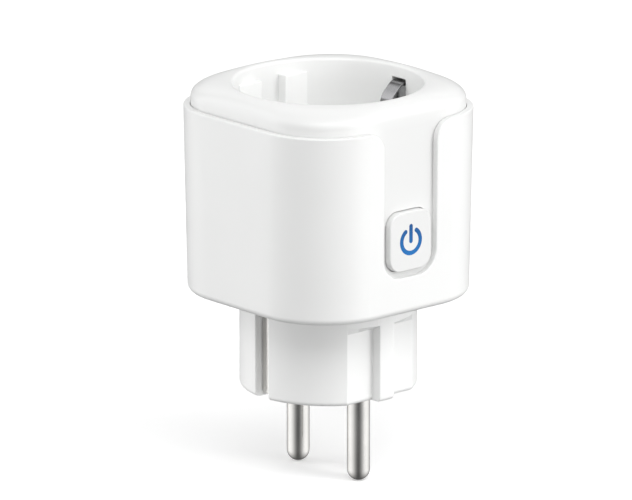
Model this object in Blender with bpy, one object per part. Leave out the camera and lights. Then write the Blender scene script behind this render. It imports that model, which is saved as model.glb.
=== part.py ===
"""A square smart plug with a round recessed socket on top and a round two-pin plug below.

+Z runs along the plug's axis, from the pins to the socket. The origin is the centre of the flat face
that the pins stand on. -Y is the front, with the button. The pins stand on the Y axis, and the earth
contacts are on the X axis. Lengths are in millimetres and become metres where a mesh is made.
"""

import math

import bmesh
import bpy
from mathutils import Matrix, Vector

MM = 0.001
GAP = 0.3

# Outer sleeve: a square tube with a slight draft and a bottom wall.
RIM_Z = 60.0
SLEEVE_BASE_Z = 20.2
SLEEVE_EDGE = 1.5
RIM_HALF = 25.7
RIM_CORNER = 15.3
BASE_HALF = 25.4
BASE_CORNER = 16.0
SLEEVE_WALL = 1.2
SLEEVE_HOLE_RADIUS = 19.0
CHANNEL_HALF = 7.2
CHANNEL_FOOT_Z = 28.1
CHANNEL_FOOT_RADIUS = 4.75
CHANNEL_EAR_RADIUS = 4.2

# Inner housing with the socket's well.
HOUSING_HALF = RIM_HALF - SLEEVE_WALL - GAP
HOUSING_CORNER = RIM_CORNER - SLEEVE_WALL - GAP
HOUSING_WALL = 1.3
HOUSING_FOOT_Z = 24.5
TOP_Z = 64.8
LIP_START_Z = 60.0
CROWN_START_Z = 61.5
CROWN_SQUARENESS = 2.3
WELL_RADIUS = 19.75
WELL_FLOOR_Z = 46.5
WELL_FLOOR_THICK = 2.0
WELL_WALL = 1.55
WELL_EDGE = 0.6
PIN_SPACING = 19.0
PIN_RADIUS = 2.4
PIN_ENTRY_RADIUS = 3.0
GUIDE_FACE_Y = 17.1
GUIDE_INNER_X = 3.26
GUIDE_OUTER_X = 9.4
GUIDE_TOP_Z = 62.1
EARTH_SLOT_HALF = 2.15
EARTH_SLOT_TOP_Z = 62.2
SCREW_PLACE = 16.0
SCREW_BOSS_RADIUS = 2.6

# Plug boss.
PLUG_RADIUS = 18.5
PLUG_EDGE = 1.0
PLUG_INNER_RADIUS = 14.3
PLUG_FLOOR = 2.6
FLANGE_Z = 22.0
FLANGE_TOP_Z = 24.2
FLAT_Y = 16.15
FLAT_TOP_Z = 15.35
FLAT_SLOPE = 1.2
RIB_HALF = 2.0
BRIDGE_GROOVE = 1.0
EARTH_FLOOR_X = 16.65
EARTH_STRIP_THICK = 0.8
EARTH_STRIP_HALF = 1.6
BOSS_SLOT_HALF = 1.95
PIN_TIP_Z = -19.0
PIN_TAIL_RADIUS = 1.5
PIN_COLLAR_RADIUS = 3.3
PIN_COLLAR_THICK = 1.2

# Button at the front, centred on this height.
BUTTON_Z = 35.8
BUTTON_HALF_X = 5.7
BUTTON_HALF_Z = 6.25
BUTTON_CORNER = 3.0
BUTTON_FACE_Y = -25.6
BUTTON_SKIN = 1.25
BUTTON_FLANGE = 1.0
BUTTON_FLANGE_THICK = 0.8
BUTTON_POCKET_RADIUS = 4.6
GUIDE_PLATE_RADIUS = 4.2
GUIDE_PLATE_THICK = 0.9
PRESS_POST_RADIUS = 1.5
PRESS_POST_END_Y = -21.5
ICON_RADIUS = 2.55
ICON_STROKE = 1.0
ICON_GAP_ANGLE = 35.0
ICON_BAR_TOP = 3.6
ICON_BAR_FOOT = -0.5
ICON_CLEARANCE = 0.12

# Boards and what stands on them.
BOARD_Z = 24.6
BOARD_THICK = 1.6
BOARD_TOP_Z = BOARD_Z + BOARD_THICK
PART_Z = BOARD_TOP_Z + GAP
BOARD_HALF = 22.5
CONTROL_BOARD_Y = -17.2
CONTROL_BOARD_THICK = 1.2
CONTROL_BOARD_HALF = 9.5
CONTROL_BOARD_TOP_Z = 43.5
UPRIGHT_BOARD_Z = 27.0
SWITCH_HALF = 3.0
SWITCH_DEPTH = 3.2
PLUNGER_RADIUS = 1.65
PLUNGER_LENGTH = 1.1
PLUNGER_PROUD = 0.5
RELAY_LOW_X = 7.4
RELAY_HIGH_X = 20.4
RELAY_HALF_Y = 11.0
RELAY_HEIGHT = 10.9
RELAY_WALL = 0.7
ARMATURE_Y = 3.2
ARMATURE_THICK = 0.8
PARTS_UNDER_Z = BOARD_Z - GAP
PARTS_UNDER_X = 8.6
PARTS_UNDER_Y = 5.6

# Earth parts beside and under the well.
EARTH_BAR_Z = 38.9
EARTH_BAR_END_Z = 43.8
EARTH_BAR_HALF = 2.0
EARTH_POST_RADIUS = 1.9
CLIP_X = 20.85
CLIP_ROOT_Z = 44.2
CLIP_THICK = 0.5
CLIP_HALF = 1.75
CONTACT_THICK = 0.7
CONTACT_HALF = 3.0

# Screws: head height, head radius, thread radius and length.
CASE_SCREW = (1.0, 2.3, 1.0, 10.0)
COVER_SCREW = (0.7, 1.7, 0.8, 3.6)
CASE_PILOT_RADIUS = 1.3
COVER_PILOT_RADIUS = 1.1
COVER_POST_RADIUS = 2.1

# Shutter under the well's floor.
SHUTTER_Z = 41.9
SHUTTER_TOP_Z = 44.1
SHUTTER_LOW_Z = 42.7
SHUTTER_RADIUS = 13.0
SHUTTER_HALF_ANGLE = 22.0
HUB_RADIUS = 5.0
PIVOT_RADIUS = 2.0
COVER_Z = 40.4
COVER_TOP_Z = 41.6
COVER_RADIUS = 14.2
COVER_SCREW_RADIUS = 11.8
COVER_SCREW_ANGLE = 21.0

CORNER_STEPS = 8
SIDE_STEPS = 6
MATERIALS = {
    "white_gloss": ((0.86, 0.86, 0.85, 1.0), 0.28, 0.0),
    "white_satin": ((0.84, 0.84, 0.83, 1.0), 0.40, 0.0),
    "blue_light": ((0.02, 0.22, 0.58, 1.0), 0.30, 0.0),
    "nickel": ((0.72, 0.71, 0.69, 1.0), 0.22, 1.0),
    "spring_bronze": ((0.72, 0.50, 0.28, 1.0), 0.32, 1.0),
    "brass": ((0.78, 0.60, 0.28, 1.0), 0.30, 1.0),
    "steel": ((0.55, 0.56, 0.58, 1.0), 0.35, 1.0),
    "copper": ((0.72, 0.33, 0.16, 1.0), 0.35, 0.6),
    "grey_nylon": ((0.35, 0.36, 0.38, 1.0), 0.50, 0.0),
    "black_plastic": ((0.03, 0.03, 0.035, 1.0), 0.40, 0.0),
    "dark_blue_plastic": ((0.02, 0.05, 0.16, 1.0), 0.35, 0.0),
    "yellow_plastic": ((0.75, 0.52, 0.06, 1.0), 0.45, 0.0),
    "green_board": ((0.03, 0.20, 0.10, 1.0), 0.40, 0.0),
    "varistor_blue": ((0.05, 0.20, 0.45, 1.0), 0.35, 0.0),
    "ferrite": ((0.08, 0.08, 0.085, 1.0), 0.60, 0.0),
    "led_lens": ((0.85, 0.88, 0.80, 1.0), 0.20, 0.0),
}


def clear_scene():
    for item in list(bpy.data.objects):
        bpy.data.objects.remove(item, do_unlink=True)


def material(name):
    """The named Principled material, made once."""
    made = bpy.data.materials.get(name)
    if made:
        return made
    color, roughness, metallic = MATERIALS[name]
    made = bpy.data.materials.new(name)
    made.use_nodes = True
    shader = made.node_tree.nodes["Principled BSDF"]
    shader.inputs["Base Color"].default_value = color
    shader.inputs["Roughness"].default_value = roughness
    shader.inputs["Metallic"].default_value = metallic
    made.diffuse_color = color
    return made


def finish_mesh(name, mesh, material_name, origin=(0, 0, 0)):
    """An object from a bmesh in millimetres, with its origin at the given point."""
    shift = Matrix.Translation(-Vector(origin))
    bmesh.ops.transform(mesh, matrix=Matrix.Scale(MM, 4) @ shift, verts=mesh.verts)
    bmesh.ops.recalc_face_normals(mesh, faces=mesh.faces)
    data = bpy.data.meshes.new(name)
    mesh.to_mesh(data)
    mesh.free()
    data.shade_smooth()
    data.set_sharp_from_angle(angle=math.radians(35))
    data.materials.append(material(material_name))
    item = bpy.data.objects.new(name, data)
    item.location = Vector(origin) * MM
    bpy.context.scene.collection.objects.link(item)
    return item


def helper(item):
    """Marks an object as a cutter or a tool that isn't part of the plug."""
    item.hide_render = True
    item.display_type = "WIRE"
    return item


def combine(target, tool, operation):
    modifier = target.modifiers.new(tool.name, "BOOLEAN")
    modifier.operation = operation
    modifier.solver = "EXACT"
    modifier.object = helper(tool)


def cut(target, *tools):
    for tool in tools:
        combine(target, tool, "DIFFERENCE")


def join(target, *tools):
    for tool in tools:
        combine(target, tool, "UNION")


def rings_mesh(rings, loop=False):
    """A bmesh through rings of points. Its open ends are closed, unless loop joins them to each other."""
    mesh = bmesh.new()
    rows = [[mesh.verts.new(point) for point in ring] for ring in rings]
    pairs = list(zip(rows, rows[1:]))
    if loop:
        pairs.append((rows[-1], rows[0]))
    for low, high in pairs:
        count = len(low)
        for i in range(count):
            after = (i + 1) % count
            mesh.faces.new((low[i], low[after], high[after], high[i]))
    if not loop:
        mesh.faces.new(rows[0][::-1])
        mesh.faces.new(rows[-1])
    return mesh


def place(u, v, along, axis):
    """A point from outline coordinates u, v and the distance along the axis."""
    if axis == "X":
        return (along, u, v)
    if axis == "Y":
        return (u, along, v)
    return (u, v, along)


def prism(name, outline, start, end, axis, material_name, origin=(0, 0, 0)):
    """An outline in the plane across the axis, extruded from start to end along it."""
    rings = [[place(u, v, along, axis) for u, v in outline] for along in (start, end)]
    return finish_mesh(name, rings_mesh(rings), material_name, origin)


def box(name, low, high, material_name, origin=(0, 0, 0)):
    outline = [(low[0], low[1]), (high[0], low[1]), (high[0], high[1]), (low[0], high[1])]
    return prism(name, outline, low[2], high[2], "Z", material_name, origin)


def turned(name, profile, material_name, centre=(0, 0), axis="Z", steps=24, origin=(0, 0, 0)):
    """A solid of revolution from (radius, distance along the axis) pairs."""
    rings = []
    for radius, along in profile:
        outline = circle(radius, steps, centre)
        rings.append([place(u, v, along, axis) for u, v in outline])
    return finish_mesh(name, rings_mesh(rings), material_name, origin)


def circle(radius, steps, centre=(0, 0)):
    turns = [2 * math.pi * i / steps for i in range(steps)]
    return [(centre[0] + radius * math.cos(a), centre[1] + radius * math.sin(a)) for a in turns]


def arc(centre, radius, start, end, steps):
    """Points of an arc, with its angles in degrees."""
    angles = [math.radians(start + (end - start) * i / steps) for i in range(steps + 1)]
    return [(centre[0] + radius * math.cos(a), centre[1] + radius * math.sin(a)) for a in angles]


def rounded_rectangle(half_u, half_v, corner, centre=(0, 0), steps=6):
    points = []
    for quarter, (su, sv) in enumerate(((1, 1), (-1, 1), (-1, -1), (1, -1))):
        middle = (centre[0] + su * (half_u - corner), centre[1] + sv * (half_v - corner))
        points += arc(middle, corner, 90 * quarter, 90 * quarter + 90, steps)
    return points


def sheet_outline(path, thickness):
    """The closed outline of a bent metal strip, from the points along its middle."""
    left = []
    right = []
    points = [Vector(point) for point in path]
    for i, point in enumerate(points):
        before = (point - points[i - 1]).normalized() if i else None
        after = (points[i + 1] - point).normalized() if i < len(points) - 1 else None
        along = ((before or after) + (after or before)).normalized()
        across = Vector((-along.y, along.x))
        reach = thickness / 2 / max(0.5, along.dot(after or before))
        left.append(tuple(point + across * reach))
        right.append(tuple(point - across * reach))
    return left + right[::-1]


def directions():
    """Angles round the body: the corners' arcs and the sides between them."""
    flat = HOUSING_HALF - HOUSING_CORNER
    points = []
    for quarter in range(4):
        turn = Matrix.Rotation(math.radians(90 * quarter), 2)
        side = [(HOUSING_HALF, flat * (2 * i / SIDE_STEPS - 1)) for i in range(1, SIDE_STEPS)]
        corner = arc((flat, flat), HOUSING_CORNER, 0, 90, CORNER_STEPS)
        points += [turn @ Vector(point) for point in side + corner]
    return [math.atan2(point.y, point.x) for point in points]


ANGLES = directions()


def square_reach(angle, half, corner):
    """How far a rounded square reaches from its middle at an angle."""
    x = abs(math.cos(angle))
    y = abs(math.sin(angle))
    flat = half - corner
    reach = half / max(x, y)
    if reach * min(x, y) <= flat:
        return reach
    toward = flat * (x + y)
    return toward + math.sqrt(toward * toward - 2 * flat * flat + corner * corner)


def square_ring(half, corner, z):
    return [polar(square_reach(angle, half, corner), angle, z) for angle in ANGLES]


def round_ring(radius, z):
    return [polar(radius, angle, z) for angle in ANGLES]


def polar(radius, angle, z):
    return (radius * math.cos(angle), radius * math.sin(angle), z)


def channel_outline():
    """The U-shaped channel in the sleeve's front, in X and Z, with its flared ears at the rim."""
    foot_x = CHANNEL_HALF - CHANNEL_FOOT_RADIUS
    foot_z = CHANNEL_FOOT_Z + CHANNEL_FOOT_RADIUS
    ear_x = CHANNEL_HALF + CHANNEL_EAR_RADIUS
    ear_z = RIM_Z - CHANNEL_EAR_RADIUS
    right = arc((foot_x, foot_z), CHANNEL_FOOT_RADIUS, -90, 0, 6)
    right += arc((ear_x, ear_z), CHANNEL_EAR_RADIUS, 180, 90, 6)
    right.append((ear_x, RIM_Z + 2))
    return right + [(-x, z) for x, z in reversed(right)]


def outer_sleeve():
    inner_half = RIM_HALF - SLEEVE_WALL
    inner_corner = RIM_CORNER - SLEEVE_WALL
    rings = [round_ring(SLEEVE_HOLE_RADIUS, SLEEVE_BASE_Z)]
    for turn in (90, 60, 30, 0):
        inset = SLEEVE_EDGE * (1 - math.cos(math.radians(turn)))
        z = SLEEVE_BASE_Z + SLEEVE_EDGE * (1 - math.sin(math.radians(turn)))
        rings.append(square_ring(BASE_HALF - inset, BASE_CORNER - inset, z))
    rings.append(square_ring(RIM_HALF, RIM_CORNER, RIM_Z))
    rings.append(square_ring(inner_half, inner_corner, RIM_Z))
    rings.append(square_ring(inner_half, inner_corner, SLEEVE_BASE_Z + SLEEVE_EDGE))
    rings.append(round_ring(SLEEVE_HOLE_RADIUS, SLEEVE_BASE_Z + SLEEVE_EDGE))
    sleeve = finish_mesh("outer_sleeve", rings_mesh(rings, loop=True), "white_gloss")
    channel = prism("channel_cutter", channel_outline(), -28, -23.5, "Y", "white_gloss")
    cut(sleeve, channel)


def lip_rings():
    """Rings over the housing's lip: the well's rounded edge, the crown, and the upright side below it."""
    rings = []
    for turn in (0, 45, 90):
        across = WELL_EDGE * (1 - math.cos(math.radians(turn)))
        z = TOP_Z - WELL_EDGE * (1 - math.sin(math.radians(turn)))
        rings.append(round_ring(WELL_RADIUS + across, z))
    inner = WELL_RADIUS + WELL_EDGE
    power = 2 / CROWN_SQUARENESS
    for turn in (72, 54, 36, 18, 0):
        share = math.cos(math.radians(turn)) ** power
        z = CROWN_START_Z + (TOP_Z - CROWN_START_Z) * math.sin(math.radians(turn)) ** power
        ring = []
        for angle in ANGLES:
            outer = square_reach(angle, HOUSING_HALF, HOUSING_CORNER)
            ring.append(polar(inner + (outer - inner) * share, angle, z))
        rings.append(ring)
    return rings


def well_features(housing):
    """Guide blocks, pin entries, earth slots and the posts under the floor."""
    under = WELL_FLOOR_Z - WELL_FLOOR_THICK
    inner = HOUSING_HALF - HOUSING_WALL
    for side in (1, -1):
        for hand in (1, -1):
            outline = [
                (hand * GUIDE_INNER_X, side * GUIDE_FACE_Y),
                (hand * GUIDE_OUTER_X, side * GUIDE_FACE_Y),
                (hand * GUIDE_OUTER_X, side * (GUIDE_FACE_Y + 1.0)),
                (hand * GUIDE_INNER_X, side * (GUIDE_FACE_Y + 3.0)),
            ]
            name = f"guide_block_{side}_{hand}"
            join(housing, prism(name, outline, under + 0.5, GUIDE_TOP_Z, "Z", "white_gloss"))
        entry = [
            (PIN_ENTRY_RADIUS, under - 1),
            (PIN_ENTRY_RADIUS, WELL_FLOOR_Z - 0.8),
            (PIN_ENTRY_RADIUS + 0.8, WELL_FLOOR_Z),
            (PIN_ENTRY_RADIUS + 1.8, WELL_FLOOR_Z + 1),
        ]
        centre = (0, side * PIN_SPACING / 2)
        cut(housing, turned(f"pin_entry_{side}", entry, "white_gloss", centre))
        reach = sorted((side * (WELL_RADIUS - 0.75), side * (inner - GAP)))
        low = (reach[0], -EARTH_SLOT_HALF, under - 1)
        high = (reach[1], EARTH_SLOT_HALF, EARTH_SLOT_TOP_Z)
        cut(housing, box(f"earth_slot_{side}", low, high, "white_gloss"))


def housing_posts(housing):
    """Bosses for the case screws, the shutter's pivot and the shutter cover's screws."""
    under = WELL_FLOOR_Z - WELL_FLOOR_THICK
    for index, centre in enumerate(screw_centres()):
        solid = [(SCREW_BOSS_RADIUS, HOUSING_FOOT_Z), (SCREW_BOSS_RADIUS, under + 1.5)]
        join(housing, turned(f"screw_boss_{index}", solid, "white_gloss", centre, steps=16))
        hole = [(CASE_PILOT_RADIUS, HOUSING_FOOT_Z - 1), (CASE_PILOT_RADIUS, HOUSING_FOOT_Z + 12)]
        cut(housing, turned(f"screw_pilot_{index}", hole, "white_gloss", centre, steps=12))
    pivot = [(PIVOT_RADIUS, SHUTTER_Z), (PIVOT_RADIUS, under + 1)]
    join(housing, turned("shutter_pivot", pivot, "white_gloss", steps=20))
    for index, centre in enumerate(cover_screw_centres()):
        post = [(COVER_POST_RADIUS, SHUTTER_Z), (COVER_POST_RADIUS, under + 1)]
        join(housing, turned(f"cover_post_{index}", post, "white_gloss", centre, steps=16))
        hole = [(COVER_PILOT_RADIUS, SHUTTER_Z - 1), (COVER_PILOT_RADIUS, under + 0.9)]
        cut(housing, turned(f"cover_pilot_{index}", hole, "white_gloss", centre, steps=12))


def screw_centres():
    return [(x * SCREW_PLACE, y * SCREW_PLACE) for x, y in ((1, 1), (-1, 1), (-1, -1), (1, -1))]


def cover_screw_centres():
    turns = [math.radians(COVER_SCREW_ANGLE + 180 * i) for i in range(2)]
    return [(COVER_SCREW_RADIUS * math.cos(a), COVER_SCREW_RADIUS * math.sin(a)) for a in turns]


def socket_housing():
    inner = HOUSING_HALF - HOUSING_WALL
    inner_corner = HOUSING_CORNER - HOUSING_WALL
    under = WELL_FLOOR_Z - WELL_FLOOR_THICK
    rings = [round_ring(8, WELL_FLOOR_Z), round_ring(WELL_RADIUS - 0.1, WELL_FLOOR_Z)]
    rings += lip_rings()
    rings.append(square_ring(HOUSING_HALF, HOUSING_CORNER, HOUSING_FOOT_Z))
    rings.append(square_ring(inner, inner_corner, HOUSING_FOOT_Z))
    rings.append(square_ring(inner, inner_corner, LIP_START_Z))
    rings.append(round_ring(WELL_RADIUS + WELL_WALL, LIP_START_Z))
    rings.append(round_ring(WELL_RADIUS + WELL_WALL, under))
    rings.append(round_ring(8, under))
    housing = finish_mesh("socket_housing", rings_mesh(rings), "white_gloss")
    well_features(housing)
    housing_posts(housing)
    hole = rounded_rectangle(
        BUTTON_HALF_X + GAP, BUTTON_HALF_Z + GAP, BUTTON_CORNER + GAP, (0, BUTTON_Z)
    )
    cut(housing, prism("button_hole", hole, -26, -21, "Y", "white_gloss"))


def plug_base():
    rings = [
        round_ring(PLUG_RADIUS - PLUG_EDGE, 0),
        round_ring(PLUG_RADIUS - 0.3 * PLUG_EDGE, 0.3 * PLUG_EDGE),
        round_ring(PLUG_RADIUS, PLUG_EDGE),
        round_ring(PLUG_RADIUS, FLANGE_Z),
        square_ring(HOUSING_HALF, HOUSING_CORNER, FLANGE_Z),
        square_ring(HOUSING_HALF, HOUSING_CORNER, FLANGE_TOP_Z),
        round_ring(PLUG_INNER_RADIUS, FLANGE_TOP_Z),
        round_ring(PLUG_INNER_RADIUS, PLUG_FLOOR),
    ]
    base = finish_mesh("plug_base", rings_mesh(rings), "white_satin")
    for side in (1, -1):
        flat = [
            (side * FLAT_Y, -1),
            (side * (PLUG_RADIUS + 1), -1),
            (side * (PLUG_RADIUS + 1), FLAT_TOP_Z + FLAT_SLOPE),
            (side * FLAT_Y, FLAT_TOP_Z),
        ]
        for hand in (1, -1):
            ends = sorted((hand * RIB_HALF, hand * 12))
            cut(base, prism(f"plug_flat_{side}_{hand}", flat, *ends, "X", "white_satin"))
        behind = EARTH_FLOOR_X - EARTH_STRIP_THICK - GAP
        slot = [
            (side * behind, -1),
            (side * (PLUG_RADIUS + 1), -1),
            (side * (PLUG_RADIUS + 1), SLEEVE_BASE_Z),
            (side * (EARTH_FLOOR_X + GAP), SLEEVE_BASE_Z),
            (side * (EARTH_FLOOR_X + GAP), FLANGE_TOP_Z + 1),
            (side * behind, FLANGE_TOP_Z + 1),
        ]
        half = BOSS_SLOT_HALF
        cut(base, prism(f"boss_slot_{side}", slot, -half, half, "Y", "white_satin"))
        hole = [(PIN_RADIUS + GAP, -1), (PIN_RADIUS + GAP, PLUG_FLOOR + 1)]
        centre = (0, side * PIN_SPACING / 2)
        cut(base, turned(f"pin_hole_{side}", hole, "white_satin", centre))
    bridge_half = EARTH_FLOOR_X + GAP - 0.2
    groove_low = (-bridge_half, -BOSS_SLOT_HALF, FLANGE_TOP_Z - BRIDGE_GROOVE)
    groove_high = (bridge_half, BOSS_SLOT_HALF, FLANGE_TOP_Z + 1)
    cut(base, box("bridge_groove", groove_low, groove_high, "white_satin"))
    for index, centre in enumerate(screw_centres()):
        hole = [(CASE_PILOT_RADIUS, FLANGE_Z - 1), (CASE_PILOT_RADIUS, FLANGE_TOP_Z + 1)]
        cut(base, turned(f"flange_hole_{index}", hole, "white_satin", centre, steps=12))
        recess = [(2.7, FLANGE_Z - 1), (2.7, FLANGE_Z + 1.3)]
        cut(base, turned(f"screw_recess_{index}", recess, "white_satin", centre, steps=16))


def plug_pin(name, side):
    """A round pin with a hemispherical tip, a collar inside the boss and a tail up to the board."""
    tip = PIN_TIP_Z + PIN_RADIUS
    profile = []
    for turn in (8, 25, 45, 68, 90):
        angle = math.radians(turn)
        profile.append((PIN_RADIUS * math.sin(angle), tip - PIN_RADIUS * math.cos(angle)))
    collar = PLUG_FLOOR + GAP
    profile += [
        (PIN_RADIUS, collar),
        (PIN_COLLAR_RADIUS, collar),
        (PIN_COLLAR_RADIUS, collar + PIN_COLLAR_THICK),
        (PIN_TAIL_RADIUS, collar + PIN_COLLAR_THICK),
        (PIN_TAIL_RADIUS, BOARD_TOP_Z),
    ]
    turned(name, profile, "nickel", (0, side * PIN_SPACING / 2))


def plug_earth_bracket():
    """The U-shaped strip whose two arms lie in the boss's side slots."""
    middle = EARTH_FLOOR_X - EARTH_STRIP_THICK / 2
    bridge = FLANGE_TOP_Z - 0.3
    path = [(-middle, 0.8), (-middle, bridge), (middle, bridge), (middle, 0.8)]
    outline = sheet_outline(path, EARTH_STRIP_THICK)
    half = EARTH_STRIP_HALF
    prism("plug_earth_bracket", outline, -half, half, "Y", "nickel")


def socket_earth():
    """The cross bar under the shutter, and the post that joins it to the plug's earth strip."""
    foot = EARTH_BAR_Z + EARTH_STRIP_THICK / 2
    path = [(-CLIP_X, EARTH_BAR_END_Z), (-CLIP_X, foot), (CLIP_X, foot), (CLIP_X, EARTH_BAR_END_Z)]
    outline = sheet_outline(path, EARTH_STRIP_THICK)
    prism("socket_earth_bar", outline, -EARTH_BAR_HALF, EARTH_BAR_HALF, "Y", "nickel")
    start = FLANGE_TOP_Z + 0.1 + GAP
    profile = [(EARTH_POST_RADIUS, start), (EARTH_POST_RADIUS, EARTH_BAR_Z - GAP)]
    turned("earth_post", profile, "brass", steps=16)


def earth_clip(name, side):
    """A sprung earth contact. Its arm stands in the well's slot and its nose leans into the well."""
    path = [
        (CLIP_X, CLIP_ROOT_Z),
        (CLIP_X, 59.9),
        (20.5, 60.9),
        (19.6, 61.3),
        (18.6, 60.8),
        (16.7, 58.9),
        (16.2, 57.6),
        (16.4, 56.0),
        (18.2, 52.6),
        (19.1, 51.6),
    ]
    outline = sheet_outline([(side * x, z) for x, z in path], CLIP_THICK)
    origin = (side * CLIP_X, 0, CLIP_ROOT_Z)
    prism(name, outline, -CLIP_HALF, CLIP_HALF, "Y", "nickel", origin)


def socket_contact(name, side):
    """Two sprung leaves that grip a pin, on a foot that is soldered to the board."""
    foot = PART_Z + CONTACT_THICK / 2
    right = [(3.3, foot), (3.3, 33), (2.45, 37.4), (3.5, 39.8)]
    path = [(-x, z) for x, z in reversed(right)] + right
    middle = side * PIN_SPACING / 2
    ends = (middle - CONTACT_HALF, middle + CONTACT_HALF)
    prism(name, sheet_outline(path, CONTACT_THICK), *ends, "Y", "spring_bronze")


def shutter_wing(name, middle):
    """A wing over one pin entry. Its top slopes, so that a pin turns the shutter as it goes in."""
    mesh = bmesh.new()
    steps = 6
    rows = []
    for i in range(steps + 1):
        share = i / steps
        angle = math.radians(middle + SHUTTER_HALF_ANGLE * (2 * share - 1))
        top = SHUTTER_LOW_Z + (SHUTTER_TOP_Z - SHUTTER_LOW_Z) * share
        corners = [(HUB_RADIUS - 1.2, SHUTTER_Z), (SHUTTER_RADIUS, SHUTTER_Z)]
        corners += [(SHUTTER_RADIUS, top), (HUB_RADIUS - 1.2, top)]
        rows.append([mesh.verts.new(polar(radius, angle, z)) for radius, z in corners])
    for low, high in zip(rows, rows[1:]):
        for i in range(4):
            mesh.faces.new((low[i], low[(i + 1) % 4], high[(i + 1) % 4], high[i]))
    mesh.faces.new(rows[0][::-1])
    mesh.faces.new(rows[-1])
    return finish_mesh(name, mesh, "grey_nylon")


def shutter():
    """The hub turns on the housing's pivot. A groove under it holds the return spring."""
    bore = PIVOT_RADIUS + GAP
    profile = [
        (bore, SHUTTER_Z),
        (bore + 0.7, SHUTTER_Z),
        (bore + 0.7, SHUTTER_Z + 1.3),
        (HUB_RADIUS - 0.8, SHUTTER_Z + 1.3),
        (HUB_RADIUS - 0.8, SHUTTER_Z),
        (HUB_RADIUS, SHUTTER_Z),
        (HUB_RADIUS, SHUTTER_TOP_Z),
        (bore, SHUTTER_TOP_Z),
    ]
    rings = [[(*point, z) for point in circle(radius, 24)] for radius, z in profile]
    hub = finish_mesh("shutter", rings_mesh(rings, loop=True), "grey_nylon")
    for index in range(2):
        wing = shutter_wing(f"shutter_wing_{index}", 90 + 180 * index)
        join(hub, wing)


def shutter_spring():
    """A small torsion spring round the pivot, inside the shutter's hub."""
    curve = bpy.data.curves.new("shutter_spring", "CURVE")
    curve.dimensions = "3D"
    curve.bevel_depth = 0.16 * MM
    curve.bevel_resolution = 1
    curve.use_fill_caps = True
    turns = 2.0
    count = 32
    radius = (PIVOT_RADIUS + GAP + 0.7 + HUB_RADIUS - 0.8) / 2
    spline = curve.splines.new("POLY")
    spline.points.add(count - 1)
    for i, point in enumerate(spline.points):
        share = i / (count - 1)
        angle = 2 * math.pi * turns * share
        z = SHUTTER_Z + 0.25 + 0.8 * share
        point.co = (radius * math.cos(angle) * MM, radius * math.sin(angle) * MM, z * MM, 1)
    curve.materials.append(material("steel"))
    item = bpy.data.objects.new("shutter_spring", curve)
    bpy.context.scene.collection.objects.link(item)


def shutter_cover():
    """The plate that holds the shutter up, with a hole for each pin and its two screws."""
    profile = [(COVER_RADIUS, COVER_Z), (COVER_RADIUS, COVER_TOP_Z)]
    cover = turned("shutter_cover", profile, "grey_nylon", steps=40)
    for side in (1, -1):
        hole = [(PIN_ENTRY_RADIUS + 0.2, COVER_Z - 1), (PIN_ENTRY_RADIUS + 0.2, COVER_TOP_Z + 1)]
        centre = (0, side * PIN_SPACING / 2)
        cut(cover, turned(f"cover_entry_{side}", hole, "grey_nylon", centre, steps=20))
    for index, centre in enumerate(cover_screw_centres()):
        hole = [(COVER_PILOT_RADIUS, COVER_Z - 1), (COVER_PILOT_RADIUS, COVER_TOP_Z + 1)]
        cut(cover, turned(f"cover_hole_{index}", hole, "grey_nylon", centre, steps=12))
        foot = COVER_Z - GAP - COVER_SCREW[0]
        screw(f"cover_screw_{index + 1}", centre, foot, COVER_SCREW)


def screw(name, centre, foot, sizes):
    """A pan-head screw that points up from foot, with a cross recess in its head."""
    head, head_radius, shank_radius, length = sizes
    profile = [
        (head_radius * 0.7, foot),
        (head_radius, foot + head * 0.4),
        (head_radius, foot + head),
        (shank_radius, foot + head),
        (shank_radius, foot + head + length * 0.85),
        (shank_radius * 0.3, foot + head + length),
    ]
    item = turned(name, profile, "steel", centre, steps=14)
    arm = head_radius * 0.5
    for u, v in ((arm, 0.22), (0.22, arm)):
        low = (centre[0] - u, centre[1] - v, foot - 1)
        high = (centre[0] + u, centre[1] + v, foot + head * 0.55)
        cut(item, box(f"{name}_recess_{u > v}", low, high, "steel"))


def case_screws():
    for index, centre in enumerate(screw_centres()):
        screw(f"case_screw_{index + 1}", centre, FLANGE_Z, CASE_SCREW)


def icon_outline(grow):
    """The power symbol's open ring, as an outline in X and Z that is grown by a clearance."""
    centre = (0, BUTTON_Z)
    outer = ICON_RADIUS + ICON_STROKE / 2 + grow
    inner = ICON_RADIUS - ICON_STROKE / 2 - grow
    turn = math.degrees(grow / ICON_RADIUS)
    start = 90 + ICON_GAP_ANGLE - turn
    end = 450 - ICON_GAP_ANGLE + turn
    return arc(centre, outer, start, end, 18) + arc(centre, inner, end, start, 18)


def icon_bar(grow):
    half = ICON_STROKE / 2 + grow
    foot = BUTTON_Z + ICON_BAR_FOOT - grow
    top = BUTTON_Z + ICON_BAR_TOP + grow
    return [(-half, foot), (half, foot), (half, top), (-half, top)]


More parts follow.
